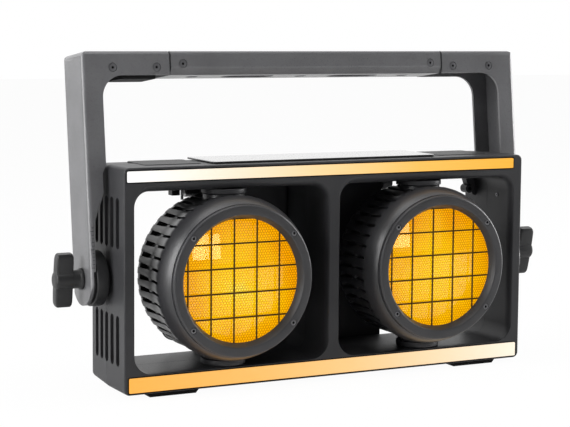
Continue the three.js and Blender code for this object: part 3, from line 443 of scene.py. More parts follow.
def placeCamera(sizes):
    turns = [Matrix.Rotation(math.radians(sizes[key]), 3, axis)
             for key, axis in (("roll", "Y"), ("pitch", "X"), ("yaw", "Z"))]
    turns = np.array(turns[0] @ turns[1] @ turns[2])
    eye = -turns.T @ np.array(sizes["offset"]) / 1000 + origin
    axes = np.stack([turns[0], turns[2], -turns[1]], axis=1)
    data = bpy.data.cameras.new("camera")
    data.sensor_width = sizes["sensor"]
    data.lens = sizes["focalPixels"] / sizes["frameWide"] * sizes["sensor"]
    data.shift_x = (sizes["frameWide"] / 2 - sizes["across"]) / sizes["frameWide"]
    data.shift_y = (sizes["down"] - sizes["frameHigh"] / 2) / sizes["frameWide"]
    data.clip_start, data.clip_end = sizes["clip"]
    made = placed("camera", data)
    made.matrix_world = Matrix.Translation(eye) @ Matrix(axes).to_4x4()
    bpy.context.scene.camera = made


placeCamera(camera)

room = {"ambient": 0.24, "depth": (-0.25, 0.35), "glossFront": 0.13, "glossBack": 1.7, "glossFloor": 0.7,
        "floorColours": ("#f7f7f7", "#fdfdfd"), "floorTone": (3, 2), "floorReach": 9.0, "floorGlow": 0.965,
        "floorDepth": (-0.4, 0.6), "floorRoughness": 0.9, "floorSpecular": 0.1}


def seenDirectly(tree):
    # 1 on rays from the camera
    return newNode(tree, "LightPath", {}).outputs["Is Camera Ray"]


def glossShare(tree, towards, depth, high):
    # what gloss mirrors and glass shows: a dim room in front of the object and a bright one behind it
    rays = newNode(tree, "LightPath", {}).outputs
    shiny = sums(tree, "MAXIMUM", rays["Is Glossy Ray"], rays["Is Transmission Ray"])
    back = newNode(tree, "SeparateXYZ", {0: towards}).outputs["Y"]
    return shiny, sums(tree, "MULTIPLY", shiny, between(tree, back, room["glossFront"], high, *depth))


def makeWorld(sizes):
    world = bpy.data.worlds.new("room")
    bpy.context.scene.world = world
    world.use_nodes = True
    tree = world.node_tree
    tree.nodes.clear()
    towards = newNode(tree, "TexCoord", {}).outputs["Generated"]
    glossy, share = glossShare(tree, towards, sizes["depth"], sizes["glossBack"])
    ambient, shown, plain = [newNode(tree, "Background", inputs).outputs[0] for inputs in (
        {"Color": white, "Strength": sizes["ambient"]}, {"Strength": share}, {"Color": white})]
    lit = eitherShader(tree, glossy, ambient, shown)
    newNode(tree, "OutputWorld", {"Surface": eitherShader(tree, seenDirectly(tree), lit, plain)})


def makeFloor(sizes):
    half = sizes["floorReach"]
    mesh = bpy.data.meshes.new("floor")
    mesh.from_pydata([(-half, -half, 0), (half, -half, 0), (half, half, 0), (-half, half, 0)], [], [(0, 1, 2, 3)])
    floor = placed("floor", mesh)
    material, tree, shader, output, place = newMaterial("floor")
    low, high = [linear(colour) for colour in sizes["floorColours"]]
    tone = ramp(tree, between(tree, noise(tree, place, *sizes["floorTone"]), 0, 1), [(0, low), (1, high)])
    fed(tree, shader, {"Base Color": tone, "Roughness": sizes["floorRoughness"],
                       "Specular IOR Level": sizes["floorSpecular"]})
    bright = glossShare(tree, place, sizes["floorDepth"], sizes["glossFloor"])[1]
    share = sums(tree, "MULTIPLY", sums(tree, "MAXIMUM", seenDirectly(tree), bright), sizes["floorGlow"])
    glow = newNode(tree, "Emission", {"Color": white})
    fed(tree, output, {"Surface": eitherShader(tree, share, shader.outputs[0], glow.outputs[0])})
    mesh.materials.append(material)


makeWorld(room)
makeFloor(room)

lamps = {
    "overhead": {"at": (-0.2, -0.3, 2.6), "aim": (0, 0, 0.15), "size": (2.4, 1.6), "watts": 30},
    "left": {"at": (-2.4, -0.1, 0.9), "aim": (0, 0, 0.15), "size": (1.2, 1.8), "watts": 58},
    "front": {"at": (0.9, -2.6, 0.9), "aim": (0, 0, 0.15), "size": (1.8, 1.4), "watts": 7},
    "right": {"at": (2.5, -0.3, 0.6), "aim": (0.2, 0, 0.15), "size": (0.8, 1.6), "watts": 62},
}
# two tall cards far in front, which only the lamps' glass shows: the window in it
cards = {"distance": 12.0, "turns": (-2.6, 6.9), "rise": 12.3, "widths": (1.73, 2.06), "height": 3.1,
         "aim": (0, 0, 0.115), "watts": 185, "colour": "#fff4b8"}


def makeLamp(name, sizes):
    data = bpy.data.lights.new(name, "AREA")
    data.shape = "RECTANGLE"
    data.size, data.size_y = sizes["size"]
    data.energy = sizes["watts"]
    made = placed(name, data)
    made.location = sizes["at"]
    made.rotation_euler = (Vector(sizes["aim"]) - Vector(sizes["at"])).to_track_quat("-Z", "Y").to_euler()
    return made


def makeCards(sizes):
    # the cards light only what is linked to this group
    receivers = bpy.data.collections.new("cardReceivers")
    rise = math.radians(sizes["rise"])
    reach, height = sizes["distance"] * math.cos(rise), sizes["aim"][2] + sizes["distance"] * math.sin(rise)
    for i, (turn, width) in enumerate(zip(np.radians(sizes["turns"]), sizes["widths"])):
        at = (reach * math.sin(turn), -reach * math.cos(turn), height)
        card = makeLamp("card%d" % i, {**sizes, "at": at, "size": (width, sizes["height"])})
        card.visible_diffuse = False
        card.data.color = linear(sizes["colour"])[:3]
        card.light_linking.receiver_collection = receivers
    return receivers


for lampName, lampSizes in lamps.items():
    makeLamp(lampName, lampSizes).visible_glossy = lampName != "front"
mirroring = makeCards(cards)
print("camera, room and lights placed")


# screws, and the tilt axis

screwShares = {"soft": 0.35, "recess": 0.25, "floor": (0.28, 0.75), "fit": 0.97}
tilt = {"y": 56.5, "z": -2, "angle": 6.7, "bore": 5.5}
sides = {"left": -1, "right": 1}


def hexSocketScrews(name, places, facing, radius, height, material, body="housing", recess=0.5):
    # rounded heads that stand on (x, y, z) and face along x or y, each with a six-sided recess and a black disc in it
    # as painted shade
    sign, axis = -1 if facing.startswith("-") else 1, facing[-1]
    profile = softened(rodProfile(radius, 0, height), [0, 0, height * screwShares["soft"], 0], 3)
    heads, shadeFloors = [], []
    for x, y, z in places:
        level, across = (y, x) if axis == "y" else (x, y)

        def plug(size, low, high):
            ends = sorted([level + sign * low, level + sign * high])
            return prism(polygon(across, z, size, 6, x), axis, *ends)
        head = revolved(profile * np.array([1, sign]), axis, (x, y, z), 28)
        heads.append(combined(head, [plug(radius * recess, height * screwShares["recess"], height + past)]))
        low, high = screwShares["floor"]
        # a black disc deep in each recess: painted shade
        shadeFloors.append(plug(radius * recess * screwShares["fit"], height * low, height * high))
    piece(name + "Floors", joined(*shadeFloors), "black", body=body)
    piece(name, joined(*heads), material, body=body)


def atTilt(mesh, angle):
    # a shape drawn about the tilt axis goes to its place, turned by some degrees
    c, s = math.cos(math.radians(angle)), math.sin(math.radians(angle))
    turn = np.array([[1, 0, 0], [0, c, -s], [0, s, c]])
    return reshaped(mesh, lambda points: points @ turn.T + (0, tilt["y"], tilt["z"]))


# frame: two shells with the lamp openings through them

case = {"width": 468, "height": 225, "depth": 96, "seam": 48, "corner": 6, "edge": 1.6, "wall": 3, "land": 12,
        "draft": 2, "rearEdge": 4, "gap": 0.3, "innerCorner": 3, "boss": (8, 220, 231), "bore": (225.7, 236)}
hole = {"divider": (5, 8), "side": (9.5, 12.5), "top": (95.5, 88), "bottom": (-93.5, -92.5), "corner": (22, 16),
        "flare": 10, "rearFlare": 3, "rearDepth": 5}
strips = {"left": {"top": -230.8, "bottom": -229}, "right": {"top": 222.2, "bottom": 229.5}, "top": (98.4, 109.1),
          "bottom": (-110.2, -95.4), "corner": 1.1, "border": 1.3, "depth": 8, "bar": 4.6, "proud": 0.4,
          "footInset": 2, "footRear": 5.8, "overlap": 0.5, "seat": (0.1, 0.12), "seatDepth": (0.15, 3)}
vents = {"count": 5, "first": 18, "pitch": 15, "width": 9, "from": 33, "to": 84, "middle": -2}
pads = {"inner": 140, "outer": 203, "front": 22, "rear": 74, "corner": 5, "recess": 1.6, "proud": 2.2, "gap": 0.4}
panel = {"half": 132, "front": 14, "rear": 84, "corner": 6, "thick": 1.8}
top = case["height"] / 2


def shellRing(y, inset, radius):
    w, h = case["width"] / 2 - inset, top - inset
    return along(roundedRectangle(-w, w, -h, h, radius), "y", y)


def holeRing(y, share, grow, side):
    # the opening narrows from its front size to its rear size as share goes from 0 to 1
    edge = {key: hole[key][0] + (hole[key][1] - hole[key][0]) * share
            for key in ("divider", "side", "top", "bottom", "corner")}
    ends = span(side, edge["divider"] - grow, case["width"] / 2 - edge["side"] + grow)
    outline = roundedRectangle(*ends, edge["bottom"] - grow, edge["top"] + grow, edge["corner"] + grow, 12)
    return along(outline, "y", y)


def holeTool(side):
    # a quarter ellipse from the front face inwards, straight walls, and a short flare at the back
    flare = [holeRing(hole["flare"] * (1 - math.cos(a)), math.sin(a), 0, side) for a in quarter(9)]
    return stacked([holeRing(-past, 0, 0, side), *flare, holeRing(case["depth"] - hole["rearDepth"], 1, 0, side),
                    holeRing(case["depth"] + past, 1, hole["rearFlare"], side)])


def holeWall(side):
    stops = ((-past, 0), (hole["flare"], 1), (case["depth"] + past, 1))
    return stacked([holeRing(y, share, case["wall"], side) for y, share in stops])


def ventTool(side):
    half = vents["width"] / 2
    ends = span(side, case["width"] / 2 - case["wall"] - case["draft"] - past, case["width"] / 2 + past)
    slots = []
    for i in range(vents["count"]):
        y = vents["first"] + vents["pitch"] * i
        for sign in (-1, 1):
            low, high = [vents["middle"] + end for end in span(sign, vents["from"], vents["to"])]
            slots.append(slab("x", *ends, y - half, y + half, low, high, half - sliver))
    return joined(*slots)


def topPad(side, inset, high):
    ends = span(side, pads["inner"] + inset, pads["outer"] - inset)
    return slab("z", top - pads["recess"], high, *ends, pads["front"] + inset, pads["rear"] - inset,
                pads["corner"] - inset, 6)


def stripOutline(which, grow):
    low, high = strips[which]
    return roundedRectangle(strips["left"][which] - grow, strips["right"][which] + grow, low - grow, high + grow,
                            strips["corner"] + grow, 6)


def hollow(start, end, inset):
    # the room inside a shell, less the walls of the two openings
    rings = [shellRing(start, case["wall"], case["innerCorner"]), shellRing(end, inset, case["innerCorner"])]
    return combined(stacked(rings), [holeWall(-1), holeWall(1)])


def onBothSides(*makers):
    return [make(side) for make in makers for side in (-1, 1)]


def padPocket(side):
    return topPad(side, 0, top + past)


def frontShell():
    e, corner = case["edge"], case["corner"]
    rings = [shellRing(e * (1 - math.sin(a)), e * (1 - math.cos(a)), corner - e * (1 - math.cos(a)))
             for a in quarter(5)[::-1]]
    channels = [prism(stripOutline(which, strips["border"]), "y", -past, strips["depth"])
                for which in ("top", "bottom")]
    tools = [hollow(case["land"], case["seam"] + past, case["wall"]), *onBothSides(holeTool), joined(*channels)]
    return combined(stacked(rings + [shellRing(case["seam"], 0, corner)]), tools + onBothSides(ventTool, padPocket))


def rearShell():
    start, d, r = case["seam"] + case["gap"], case["depth"], case["rearEdge"]
    rings = [shellRing(start, 0, case["corner"])]
    rings += [shellRing(d - r * (1 - math.sin(a)), case["draft"] + r * (1 - math.cos(a)), case["corner"])
              for a in quarter(6)]
    inside = hollow(start - past, d - r - case["wall"], case["wall"] + case["draft"])
    (radius, low, high), near, y, z = case["boss"], tilt["bore"], tilt["y"], tilt["z"]
    rim = revolved([(near, low), (radius, low), (radius, high), (near, high)], "x", (0, y, z), 40)
    shell = combined(combined(stacked(rings), [inside, *onBothSides(holeTool)]), [rim, mirrored(rim)], "UNION")
    near -= sliver
    bore = slabAbout(y, z, near, near, near, "x", *case["bore"], 10)
    return combined(shell, [bore, mirrored(bore), *onBothSides(ventTool, padPocket)])


piece("frontShell", frontShell(), "frame", "front_frame", "frame", bevel=0.7)
piece("rearShell", rearShell(), "frame", "rear_frame", "frame", bevel=0.7)
print("frame shells made")

# light strips, top panel and pads; each strip's colour runs along x through (share, colour) stops

stripLight = {"glow": 0.86, "shade": 0.75, "rough": (0.36, 0.44), "grain": (420, 2)}
stripColours = {
    "top": [(0, "#ffffff"), (0.18, "#fff3e0"), (0.45, "#ffd9a0"), (0.72, "#ffc258"), (1, "#ffb32e")],
    "bottom": [(0, "#ffb347"), (0.3, "#ffc065"), (0.55, "#ffcd88"), (0.8, "#ffe2ba"), (1, "#fff3df")],
}


def stripMaterial(which):
    material, tree, shader, _, place = newMaterial(which + "Light")
    x = newNode(tree, "SeparateXYZ", {0: place}).outputs["X"]
    share = between(tree, x, 0, 1, strips["left"]["bottom"] / 1000, strips["right"]["bottom"] / 1000)
    colour = ramp(tree, share, linearStops(stripColours[which]))
    grain = between(tree, noise(tree, place, *stripLight["grain"]), *stripLight["rough"])
    litShader(tree, shader, colour, stripLight, {"Roughness": grain})
    return material


def lightBar(which):
    front, back = -strips["proud"], strips["bar"] - strips["proud"]
    foot = stripOutline(which, -strips["footInset"])
    return joined(prism(stripOutline(which, 0), "y", front, back),
                  prism(foot, "y", back - strips["overlap"], strips["footRear"]))


def stripBorder(which):
    # the black seat that shows as a thin line round the bar
    outer, inner = strips["seat"]
    blank = prism(stripOutline(which, strips["border"] - outer), "y", *strips["seatDepth"])
    return combined(blank, [prism(stripOutline(which, inner), "y", -past, strips["seatDepth"][1] + past)])


def topPanel():
    low, half = top + case["gap"], panel["half"]
    return slab("z", low, low + panel["thick"], -half, half, panel["front"], panel["rear"], panel["corner"])


for which, slotName in (("top", "warm_strip"), ("bottom", "amber_strip")):
    materials[which + "Light"] = stripMaterial(which)
    piece(which + "LightBar", lightBar(which), which + "Light", "light_strip_" + which, slotName, bevel=0.5)
piece("stripBorders", joined(stripBorder("top"), stripBorder("bottom")), "black")
piece("topPanel", topPanel(), "gloss", "top_panel", "gloss_panel", bevel=0.6)
padTop = top - pads["recess"] + pads["proud"]
piece("topPads", joined(topPad(-1, pads["gap"], padTop), topPad(1, pads["gap"], padTop)), "pad", bevel=0.5)
print("light strips and top made")

# lamps: each is drawn about its own axis and set beside the divider

lamp = {"x": 116.5, "z": -2, "pivotY": 23, "sweep": 84.4}
# the collar's (y, radius); the slots' (y, radius, half width as a share of the pitch, depth)
head = {"fins": 44, "collar": [(-21.7, 77), (-20.2, 78.1), (-16, 80.4), (-10.1, 82.4), (-6, 83.6), (-4, 84)],
        "slots": [(-2.8, 84.2, 0.08, 3), (-1, 84.3, 0.09, 5), (3, 83.9, 0.1, 6), (9, 82.6, 0.1, 6.4),
                  (19, 82, 0.1, 6.4), (21, 82, 0.12, 1.6), (27, 82, 0.14, 1.6), (29, 82, 0.16, 5.5),
                  (34, 82, 0.18, 6.5), (50.2, 82, 0.2, 6.5), (51, 82, 0.21, 1.2), (53.6, 82, 0.21, 1.2),
                  (55, 81.4, 0.21, 0.6), (55.6, 80.2, 0.21, 0)],
        "slotShares": [1, 1, 0.96, 0.76, 0.06, 0.01, 0, 0.01, 0.06, 0.76, 0.96, 1], "rear": 55.6, "hub": 40, "seat": 70,
        "seatDepth": -11.5, "bore": 66, "boss": 21.5, "bossStart": 72, "bossSoft": 1.2,
        "slotSteps": [0, 0.55, 0.9, 1], "slotLip": 0.025, "finFlank": (0.5, 0.26)}
ring = {"face": (67, 74.9), "front": -27, "outer": 76.6, "lip": 1.4, "rear": -22, "inner": 69.7, "throat": 62.7,
        "throatDepth": -18.6, "soft": [0.8, 0.8, 0.9, 0.3, 0.2, 0.2, 0.5], "screwRadius": 71.65, "screwAngle": 39.5,
        "screwSink": 2.6, "well": 3.15, "screw": (2.95, 2.3), "screwRecess": 0.56}
grille = {"reach": 70, "columns": (-0.823, 0.36), "rows": (-0.536, 0.356), "count": 5, "wire": 0.88, "columnY": -17.7,
          "rowY": -17.1, "rim": 67.9, "rimWire": 1.1, "rimY": -17.4}
# the last number sets the glow's middle lower, so the lens's top is more orange: painted shade under the ring
lens = {"radius": 69.2, "front": -15.3, "rear": -11.9, "dome": 2.9, "cell": 2.9, "relief": 0.36, "fade": 3, "grid": 250,
        "glowDrop": 9}
pane = {"front": -16.15, "dome": 3.3, "thickness": 0.4, "tilt": 20.0, "colour": "#fffbe4", "ior": 1.3, "dust": (90, 3),
        "rough": 0.04}
amber = {"glow": 1.08, "shade": 0.8, "rough": 0.4, "specular": 0.06, "slow": (26, 2), "spread": 0.16,
         "step": (0.25, 0.8),
         # crown and hollow stops: brighter crowns as painted glints, darker hollows as painted shade, over the lamp's
         # own glow
         "crown": [(0, "#fff04a"), (0.14, "#ffe010"), (0.5, "#ffd004"), (1, "#ffb000")],
         "hollow": [(0, "#b88200"), (0.14, "#cc9000"), (0.5, "#ce8e00"), (1, "#b97400")]}
swivel = {"radius": 23, "start": 84.7, "ends": {1: 89.7, -1: 90.2}, "soft": 0.7}
cover = {"profile": [[0, 55.9], [71, 55.9], [71, 58.4], [69.4, 59.9], [60, 59.9], [57.5, 59], [24, 59], [22, 60.2],
                     [0, 60.2]], "soft": [0, 0.2, 0.6, 0.8, 0.8, 0.8, 0.8, 0.8, 0],
         "glandZ": -38, "nut": 7.4, "nutY": (59, 63.4), "collarSoft": [0, 0, 1, 0.6, 0],
         "collar": [[3.5, 62], [6.1, 62], [6.1, 67], [5, 69.8], [3.5, 69.8]],
         "screwRadius": 65, "screwY": 59.6, "screw": (2.6, 1.8), "screwAngles": (30, 90, 150, 210, 330)}


def inLamp(side, mesh):
    return reshaped(mesh, lambda points: points + np.array([side * lamp["x"], 0, lamp["z"]], float))


def finnedHead():
    # skin over (turn, y): a smooth collar, then a barrel whose slots close over a bridge and again before the back
    # edge; then the rim, seat, bore and back
    skin = np.array([(y, r, 0.1, 0) for y, r in head["collar"]] + head["slots"])
    place, size, width, depth = skin.T[:, :, None]
    share, start = head["finFlank"]
    near = np.concatenate([width * head["slotSteps"], width + head["slotLip"], width * share + start], axis=1)
    unit = np.concatenate([near, np.full((len(skin), 1), 0.5), 1 - near[:, :0:-1]], axis=1)
    fins = head["fins"]
    turn = ((np.arange(fins)[None, :, None] + unit[:, None]) / fins * 2 * math.pi).reshape(len(skin), -1)
    outer = size - depth * np.tile(head["slotShares"], fins)
    bore, hub, seat, seatDepth = head["bore"], head["hub"], head["seat"], head["seatDepth"]
    flat = np.array([(0, hub), (bore, hub), (bore, seatDepth), (seat, seatDepth), (seat, head["collar"][0][0])])
    columns = turn.shape[1]
    radius = np.concatenate([np.repeat(flat[:, :1], columns, 1), outer, np.zeros((1, columns))])
    turn = np.concatenate([np.repeat(turn[:1], len(flat), 0), turn, turn[-1:]])
    place = np.concatenate([flat[:, 1], skin[:, 0], [head["rear"]]])[:, None]
    points = np.stack([radius * np.sin(turn), np.broadcast_to(place, radius.shape), radius * np.cos(turn)], axis=-1)
    parts = [meshFrom(points.reshape(-1, 3), gridFaces(len(place), columns, False, True))]
    for sign in (-1, 1):
        profile = rodProfile(head["boss"], sign * head["bossStart"], sign * lamp["sweep"])
        parts.append(turned(profile, [0, 0, head["bossSoft"], 0], "z", (0, lamp["pivotY"], 0), 64, 4))
    return joined(*parts)


def ringScrewPlaces():
    angle = math.radians(ring["screwAngle"])
    x, z = ring["screwRadius"] * math.cos(angle), ring["screwRadius"] * math.sin(angle)
    return [(-x, z), (x, z), (-x, -z), (x, -z)]


def frontRing():
    (near, far), front, rear, depth = ring["face"], ring["front"], ring["rear"], ring["throatDepth"]
    profile = [[near, front], [far, front], [ring["outer"], front + ring["lip"]], [ring["outer"], rear],
               [ring["inner"], rear], [ring["inner"], depth], [ring["throat"], depth]]
    wells = [roundPlug(x, z, ring["well"], "y", front - past, front + ring["screwSink"]) for x, z in ringScrewPlaces()]
    return combined(turned(profile, ring["soft"], "y", (0, 0, 0), 144), wells)


def wireGrille():
    wires = []
    for i in range(grille["count"]):
        x, z = [grille["reach"] * (grille[key][0] + grille[key][1] * i) for key in ("columns", "rows")]
        tall, wide = math.sqrt(grille["rim"] ** 2 - x * x), math.sqrt(grille["rim"] ** 2 - z * z)
        wires.append(tube([[x, grille["columnY"], -tall], [x, grille["columnY"], tall]], grille["wire"]))
        wires.append(tube([[-wide, grille["rowY"], z], [wide, grille["rowY"], z]], grille["wire"]))
    return joined(revolved(polygon(grille["rim"], grille["rimY"], grille["rimWire"], 12)), *wires)


def domeAt(x, z, sizes):
    return sizes["dome"] * (x ** 2 + z ** 2) / lens["radius"] ** 2


def honeycombLens():
    # the front is a shallow dome with a hexagonal relief, the sum of three cosines turned by 120 degrees, on a
    # square grid pressed into a disc, so that no point of it is a pole
    count = lens["grid"]
    across, up = np.meshgrid(np.linspace(-1, 1, count), np.linspace(-1, 1, count), indexing="ij")
    x, z = across * np.sqrt(1 - up ** 2 / 2) * lens["radius"], up * np.sqrt(1 - across ** 2 / 2) * lens["radius"]
    wave = 2 * math.pi / (lens["cell"] * math.cos(math.pi / 6))
    cells = sum(np.cos(wave * (x * math.cos(a) + z * math.sin(a))) for a in np.radians([90, 210, 330]))
    fade = np.clip((lens["radius"] - np.hypot(x, z)) / lens["fade"], 0, 1)
    front = lens["front"] + domeAt(x, z, lens) - lens["relief"] * (cells / 3) * fade
    points = np.stack([x, front, z], axis=-1).reshape(-1, 3)
    # the grid's edge in walking order, and the flat back behind it
    index = np.arange(count * count).reshape(count, count)
    rim = np.concatenate([index[:-1, 0], index[-1, :-1], index[:0:-1, -1], index[0, :0:-1]])
    behind = points[rim] * np.array([1, 0, 1]) + np.array([0, lens["rear"], 0])
    back = len(points) + np.arange(len(rim))
    walls = np.stack([rim, np.roll(rim, -1), np.roll(back, -1), back], axis=-1)
    return meshFrom(np.concatenate([points, behind]), gridFaces(count, count), walls, back[None, :])


def glassPane():
    # a clear pane in front of the honeycomb: a thin dome, closed
    share = np.linspace(0, 1, 25)
    front = np.stack([share * lens["radius"], pane["front"] + pane["dome"] * share ** 2], axis=-1)
    return revolved(np.concatenate([front, front[::-1] + np.array([0, pane["thickness"]])]))


def aboutLamp(mesh, side):
    return (drawnPoints(mesh) - (side * lamp["x"], 0, lamp["z"])).T


def markLens(mesh, side):
    # two values at each point: distance from the glow's middle, which sits low as painted shade under the ring, and
    # height of the honeycomb's relief
    x, y, z = aboutLamp(mesh, side)
    lift = (lens["front"] + domeAt(x, z, lens) - y) / lens["relief"]
    values = {"away": np.hypot(x, z + lens["glowDrop"]) / lens["radius"], "relief": np.clip(lift * 0.5 + 0.5, 0, 1)}
    for name, value in values.items():
        mesh.attributes.new(name, "FLOAT", "POINT").data.foreach_set("value", value.astype(np.float32))


def bowPane(mesh, side):
    # the pane is shaded as part of a rounder dome than its flat space allows
    x, y, z = aboutLamp(mesh, side)
    slope = math.tan(math.radians(pane["tilt"])) / lens["radius"]
    facing = np.where(y < pane["front"] + domeAt(x, z, pane) + pane["thickness"] / 2, 1, -1)
    normals = np.stack([x * slope, -np.ones(len(x)), z * slope], axis=-1) * facing[:, None]
    normals /= np.linalg.norm(normals, axis=1)[:, None]
    mesh.normals_split_custom_set_from_vertices(normals.tolist())


def amberMaterial():
    # lit honeycomb: yellow in the middle, orange at the edge and at the top as painted shade under the ring; each cell
    # brighter on its crown as a painted glint and darker in its hollow as painted shade, over the lamp's own glow
    material, tree, shader, _, place = newMaterial("amber")
    away, relief = [newNode(tree, "Attribute", {}, attribute_name=name).outputs["Fac"] for name in ("away", "relief")]
    slow = between(tree, noise(tree, place, *amber["slow"]), -amber["spread"], amber["spread"])
    share = sums(tree, "ADD", away, slow)
    low, high = [ramp(tree, share, linearStops(amber[key])) for key in ("hollow", "crown")]
    colour = mixed(tree, between(tree, relief, 0, 1, *amber["step"]), low, high)
    litShader(tree, shader, colour, amber, {"Roughness": amber["rough"], "Specular IOR Level": amber["specular"]})
    return material


def clearMaterial():
    material, tree, shader, _, place = newMaterial("clearGlass")
    dust = between(tree, noise(tree, place, *pane["dust"]), 0, pane["rough"])
    fed(tree, shader, {"Roughness": dust, "Base Color": linear(pane["colour"]), "Transmission Weight": 1,
                       "IOR": pane["ior"]})
    return material


def swivelDisc(sign):
    profile, soft = rodProfile(swivel["radius"], sign * swivel["start"], sign * swivel["ends"][sign]), swivel["soft"]
    return turned(profile, [0, soft, soft, 0], "z", (0, lamp["pivotY"], 0), 72)


def rearCover():
    disc = turned(cover["profile"], cover["soft"], "y", (0, 0, 0), 112)
    nut = prism(polygon(0, cover["glandZ"], cover["nut"], 6), "y", *cover["nutY"])
    return joined(disc, nut, turned(cover["collar"], cover["collarSoft"], "y", (0, 0, cover["glandZ"]), 36))


materials["amber"] = amberMaterial()
materials["clear"] = clearMaterial()
lampParts = [
    ("Head", finnedHead(), "casting", "_head", "lamp_casting", 38),
    ("Ring", frontRing(), "ring", "_front_ring", "ring_casting", 32),
    ("Grille", wireGrille(), "wire", "_grille", "wire", 50),
    ("Lens", honeycombLens(), "amber", "_lens", "amber_lens", 70),
    ("Glass", glassPane(), "clear", None, None, 40),
    ("RearCover", rearCover(), "casting", "_rear_cover", "lamp_casting", 32),
]
for name, side in sides.items():
    own, made = "lamp_" + name, "lamp" + name.capitalize()
    whole = {part: piece(made + part, inLamp(side, shape), material, node and own + node, slotName, own, smooth=smooth)
             for part, shape, material, node, slotName, smooth in lampParts}
    markLens(whole["Lens"].data, side)
    bowPane(whole["Glass"].data, side)
    mirroring.objects.link(whole["Glass"])
    spots = [(side * lamp["x"] + x, ring["front"] + ring["screwSink"], z + lamp["z"]) for x, z in ringScrewPlaces()]
    hexSocketScrews(made + "RingScrews", spots, "-y", *ring["screw"], "screw", own, ring["screwRecess"])
    spots = [(side * lamp["x"] + cover["screwRadius"] * math.cos(a), cover["screwY"],
              cover["screwRadius"] * math.sin(a) + lamp["z"]) for a in np.radians(cover["screwAngles"])]
    hexSocketScrews(made + "CoverScrews", spots, "y", *cover["screw"], "darkSteel", own)
    for word, sign in (("Top", 1), ("Bottom", -1)):
        node = own + "_%s_swivel" % word.lower()
        piece(made + word + "Swivel", inLamp(side, swivelDisc(sign)), "frame", node, "frame")
print("lamps made")

# small fittings in the openings: hangers behind each lamp's top, a boss with a dark screw in each outer top corner

hanger = {"y": 75, "front": 5, "rear": 6, "corner": 1, "high": 87.8, "post": (1.5, 71), "postX": 139.8,
          "blocks": [(137.5, 121.6, 77), (153, 144, 76)]}
boss = {"x": 212.5, "z": 69.5, "radius": 5, "front": 69.5, "rear": 82, "soft": [0, 1, 0.5, 0], "webY": (72, 81),
        "web": [(226, 88), (206, 88), (211, 74), (218, 63), (226, 60)], "screw": (2, 69.1, 70)}
wallScrew = {"x": 221.5, "y": 28.7, "z": 66.4, "radius": 2, "height": 0.8}


def hangerPost(side):
    radius, low = hanger["post"]
    return rod(radius, hanger["high"], low, "z", (side * hanger["postX"], hanger["y"], 0), 20)


def hangerBlocks(side):
    front, rear = hanger["y"] - hanger["front"], hanger["y"] + hanger["rear"]
    return joined(*[slab("z", low, hanger["high"], *span(side, outer, inner), front, rear, hanger["corner"], 3)
                    for outer, inner, low in hanger["blocks"]])


def cornerBoss(side):
    profile = rodProfile(boss["radius"], boss["front"], boss["rear"])
    web = prism([(side * x, z) for x, z in boss["web"]], "y", *boss["webY"])
    return joined(turned(profile, boss["soft"], "y", (side * boss["x"], 0, boss["z"]), 40), web)


def cornerScrew(side):
    return rod(*boss["screw"], "y", (side * boss["x"], 0, boss["z"]), 24)


piece("cornerBosses", joined(*onBothSides(cornerBoss)), "frame", bevel=0.5)
for word, side, facing in (("Right", 1, "-x"), ("Left", -1, "x")):
    hexSocketScrews("wallScrew" + word, [(side * wallScrew["x"], wallScrew["y"], wallScrew["z"])], facing,
                    wallScrew["radius"], wallScrew["height"], "screw")
piece("cornerScrews", joined(*onBothSides(cornerScrew)), "black")
piece("hangerPosts", joined(*onBothSides(hangerPost)), "steel")
piece("hangerBlocks", joined(*onBothSides(hangerBlocks)), "blackPlastic", bevel=0.4)
print("hangers made")

# yoke: drawn upright about the tilt axis, then leant back

yoke = {"outer": 257, "top": 225.6, "half": 27, "plate": 3, "fold": 5, "barLow": 201.1, "joint": 163, "gap": 2,
        "flange": 21, "innerCorner": 22, "outerCorner": 7, "waist": 4, "waistZ": (112, 104, 84, 54), "lip": 5.4,
        "lipLow": 7}
bar = {"bevelHeight": 7.5, "bevelDepth": 5, "soft": (0.8, 1.4), "innerSoft": 1, "clampHoles": (-127, 0, 127),
       "clampRadius": 6.5, "slots": (-63.5, 63.5), "slotReach": 30, "slotRadius": 12}
yokeScrews = {"arm": [(177, 209), (224.2, 209)], "bar": [(147.8, 212.3)], "radius": 4.0, "taper": 1.2, "depth": 1.4,
              "sink": 0.15, "well": 4.2, "wellTaper": 0.8, "wellDepth": 1.1, "core": 1.5, "coreDepth": (0.35, 1.2)}
# the dark plate under the left arm's channel, painted shade of the channel's inside
plate = {"x": (-214, -174), "y": (-18, 22), "z": (198, 203), "corner": 3}
ticks = {"count": 12, "first": 11, "pitch": 3.6, "start": 4.6, "long": 3.36, "short": 2.08, "half": 0.35,
         "corner": 0.2, "depth": (-0.15, 0.4)}


def leant(mesh):
    return atTilt(mesh, -tilt["angle"])


def screwWell(x, z):
    front, r, depth = -yoke["half"], yokeScrews["well"], yokeScrews["wellDepth"]
    profile = [(0, front - past), (r + yokeScrews["wellTaper"], front - past), (r, front + depth), (0, front + depth)]
    return revolved(profile, "y", (x, 0, z), 36)


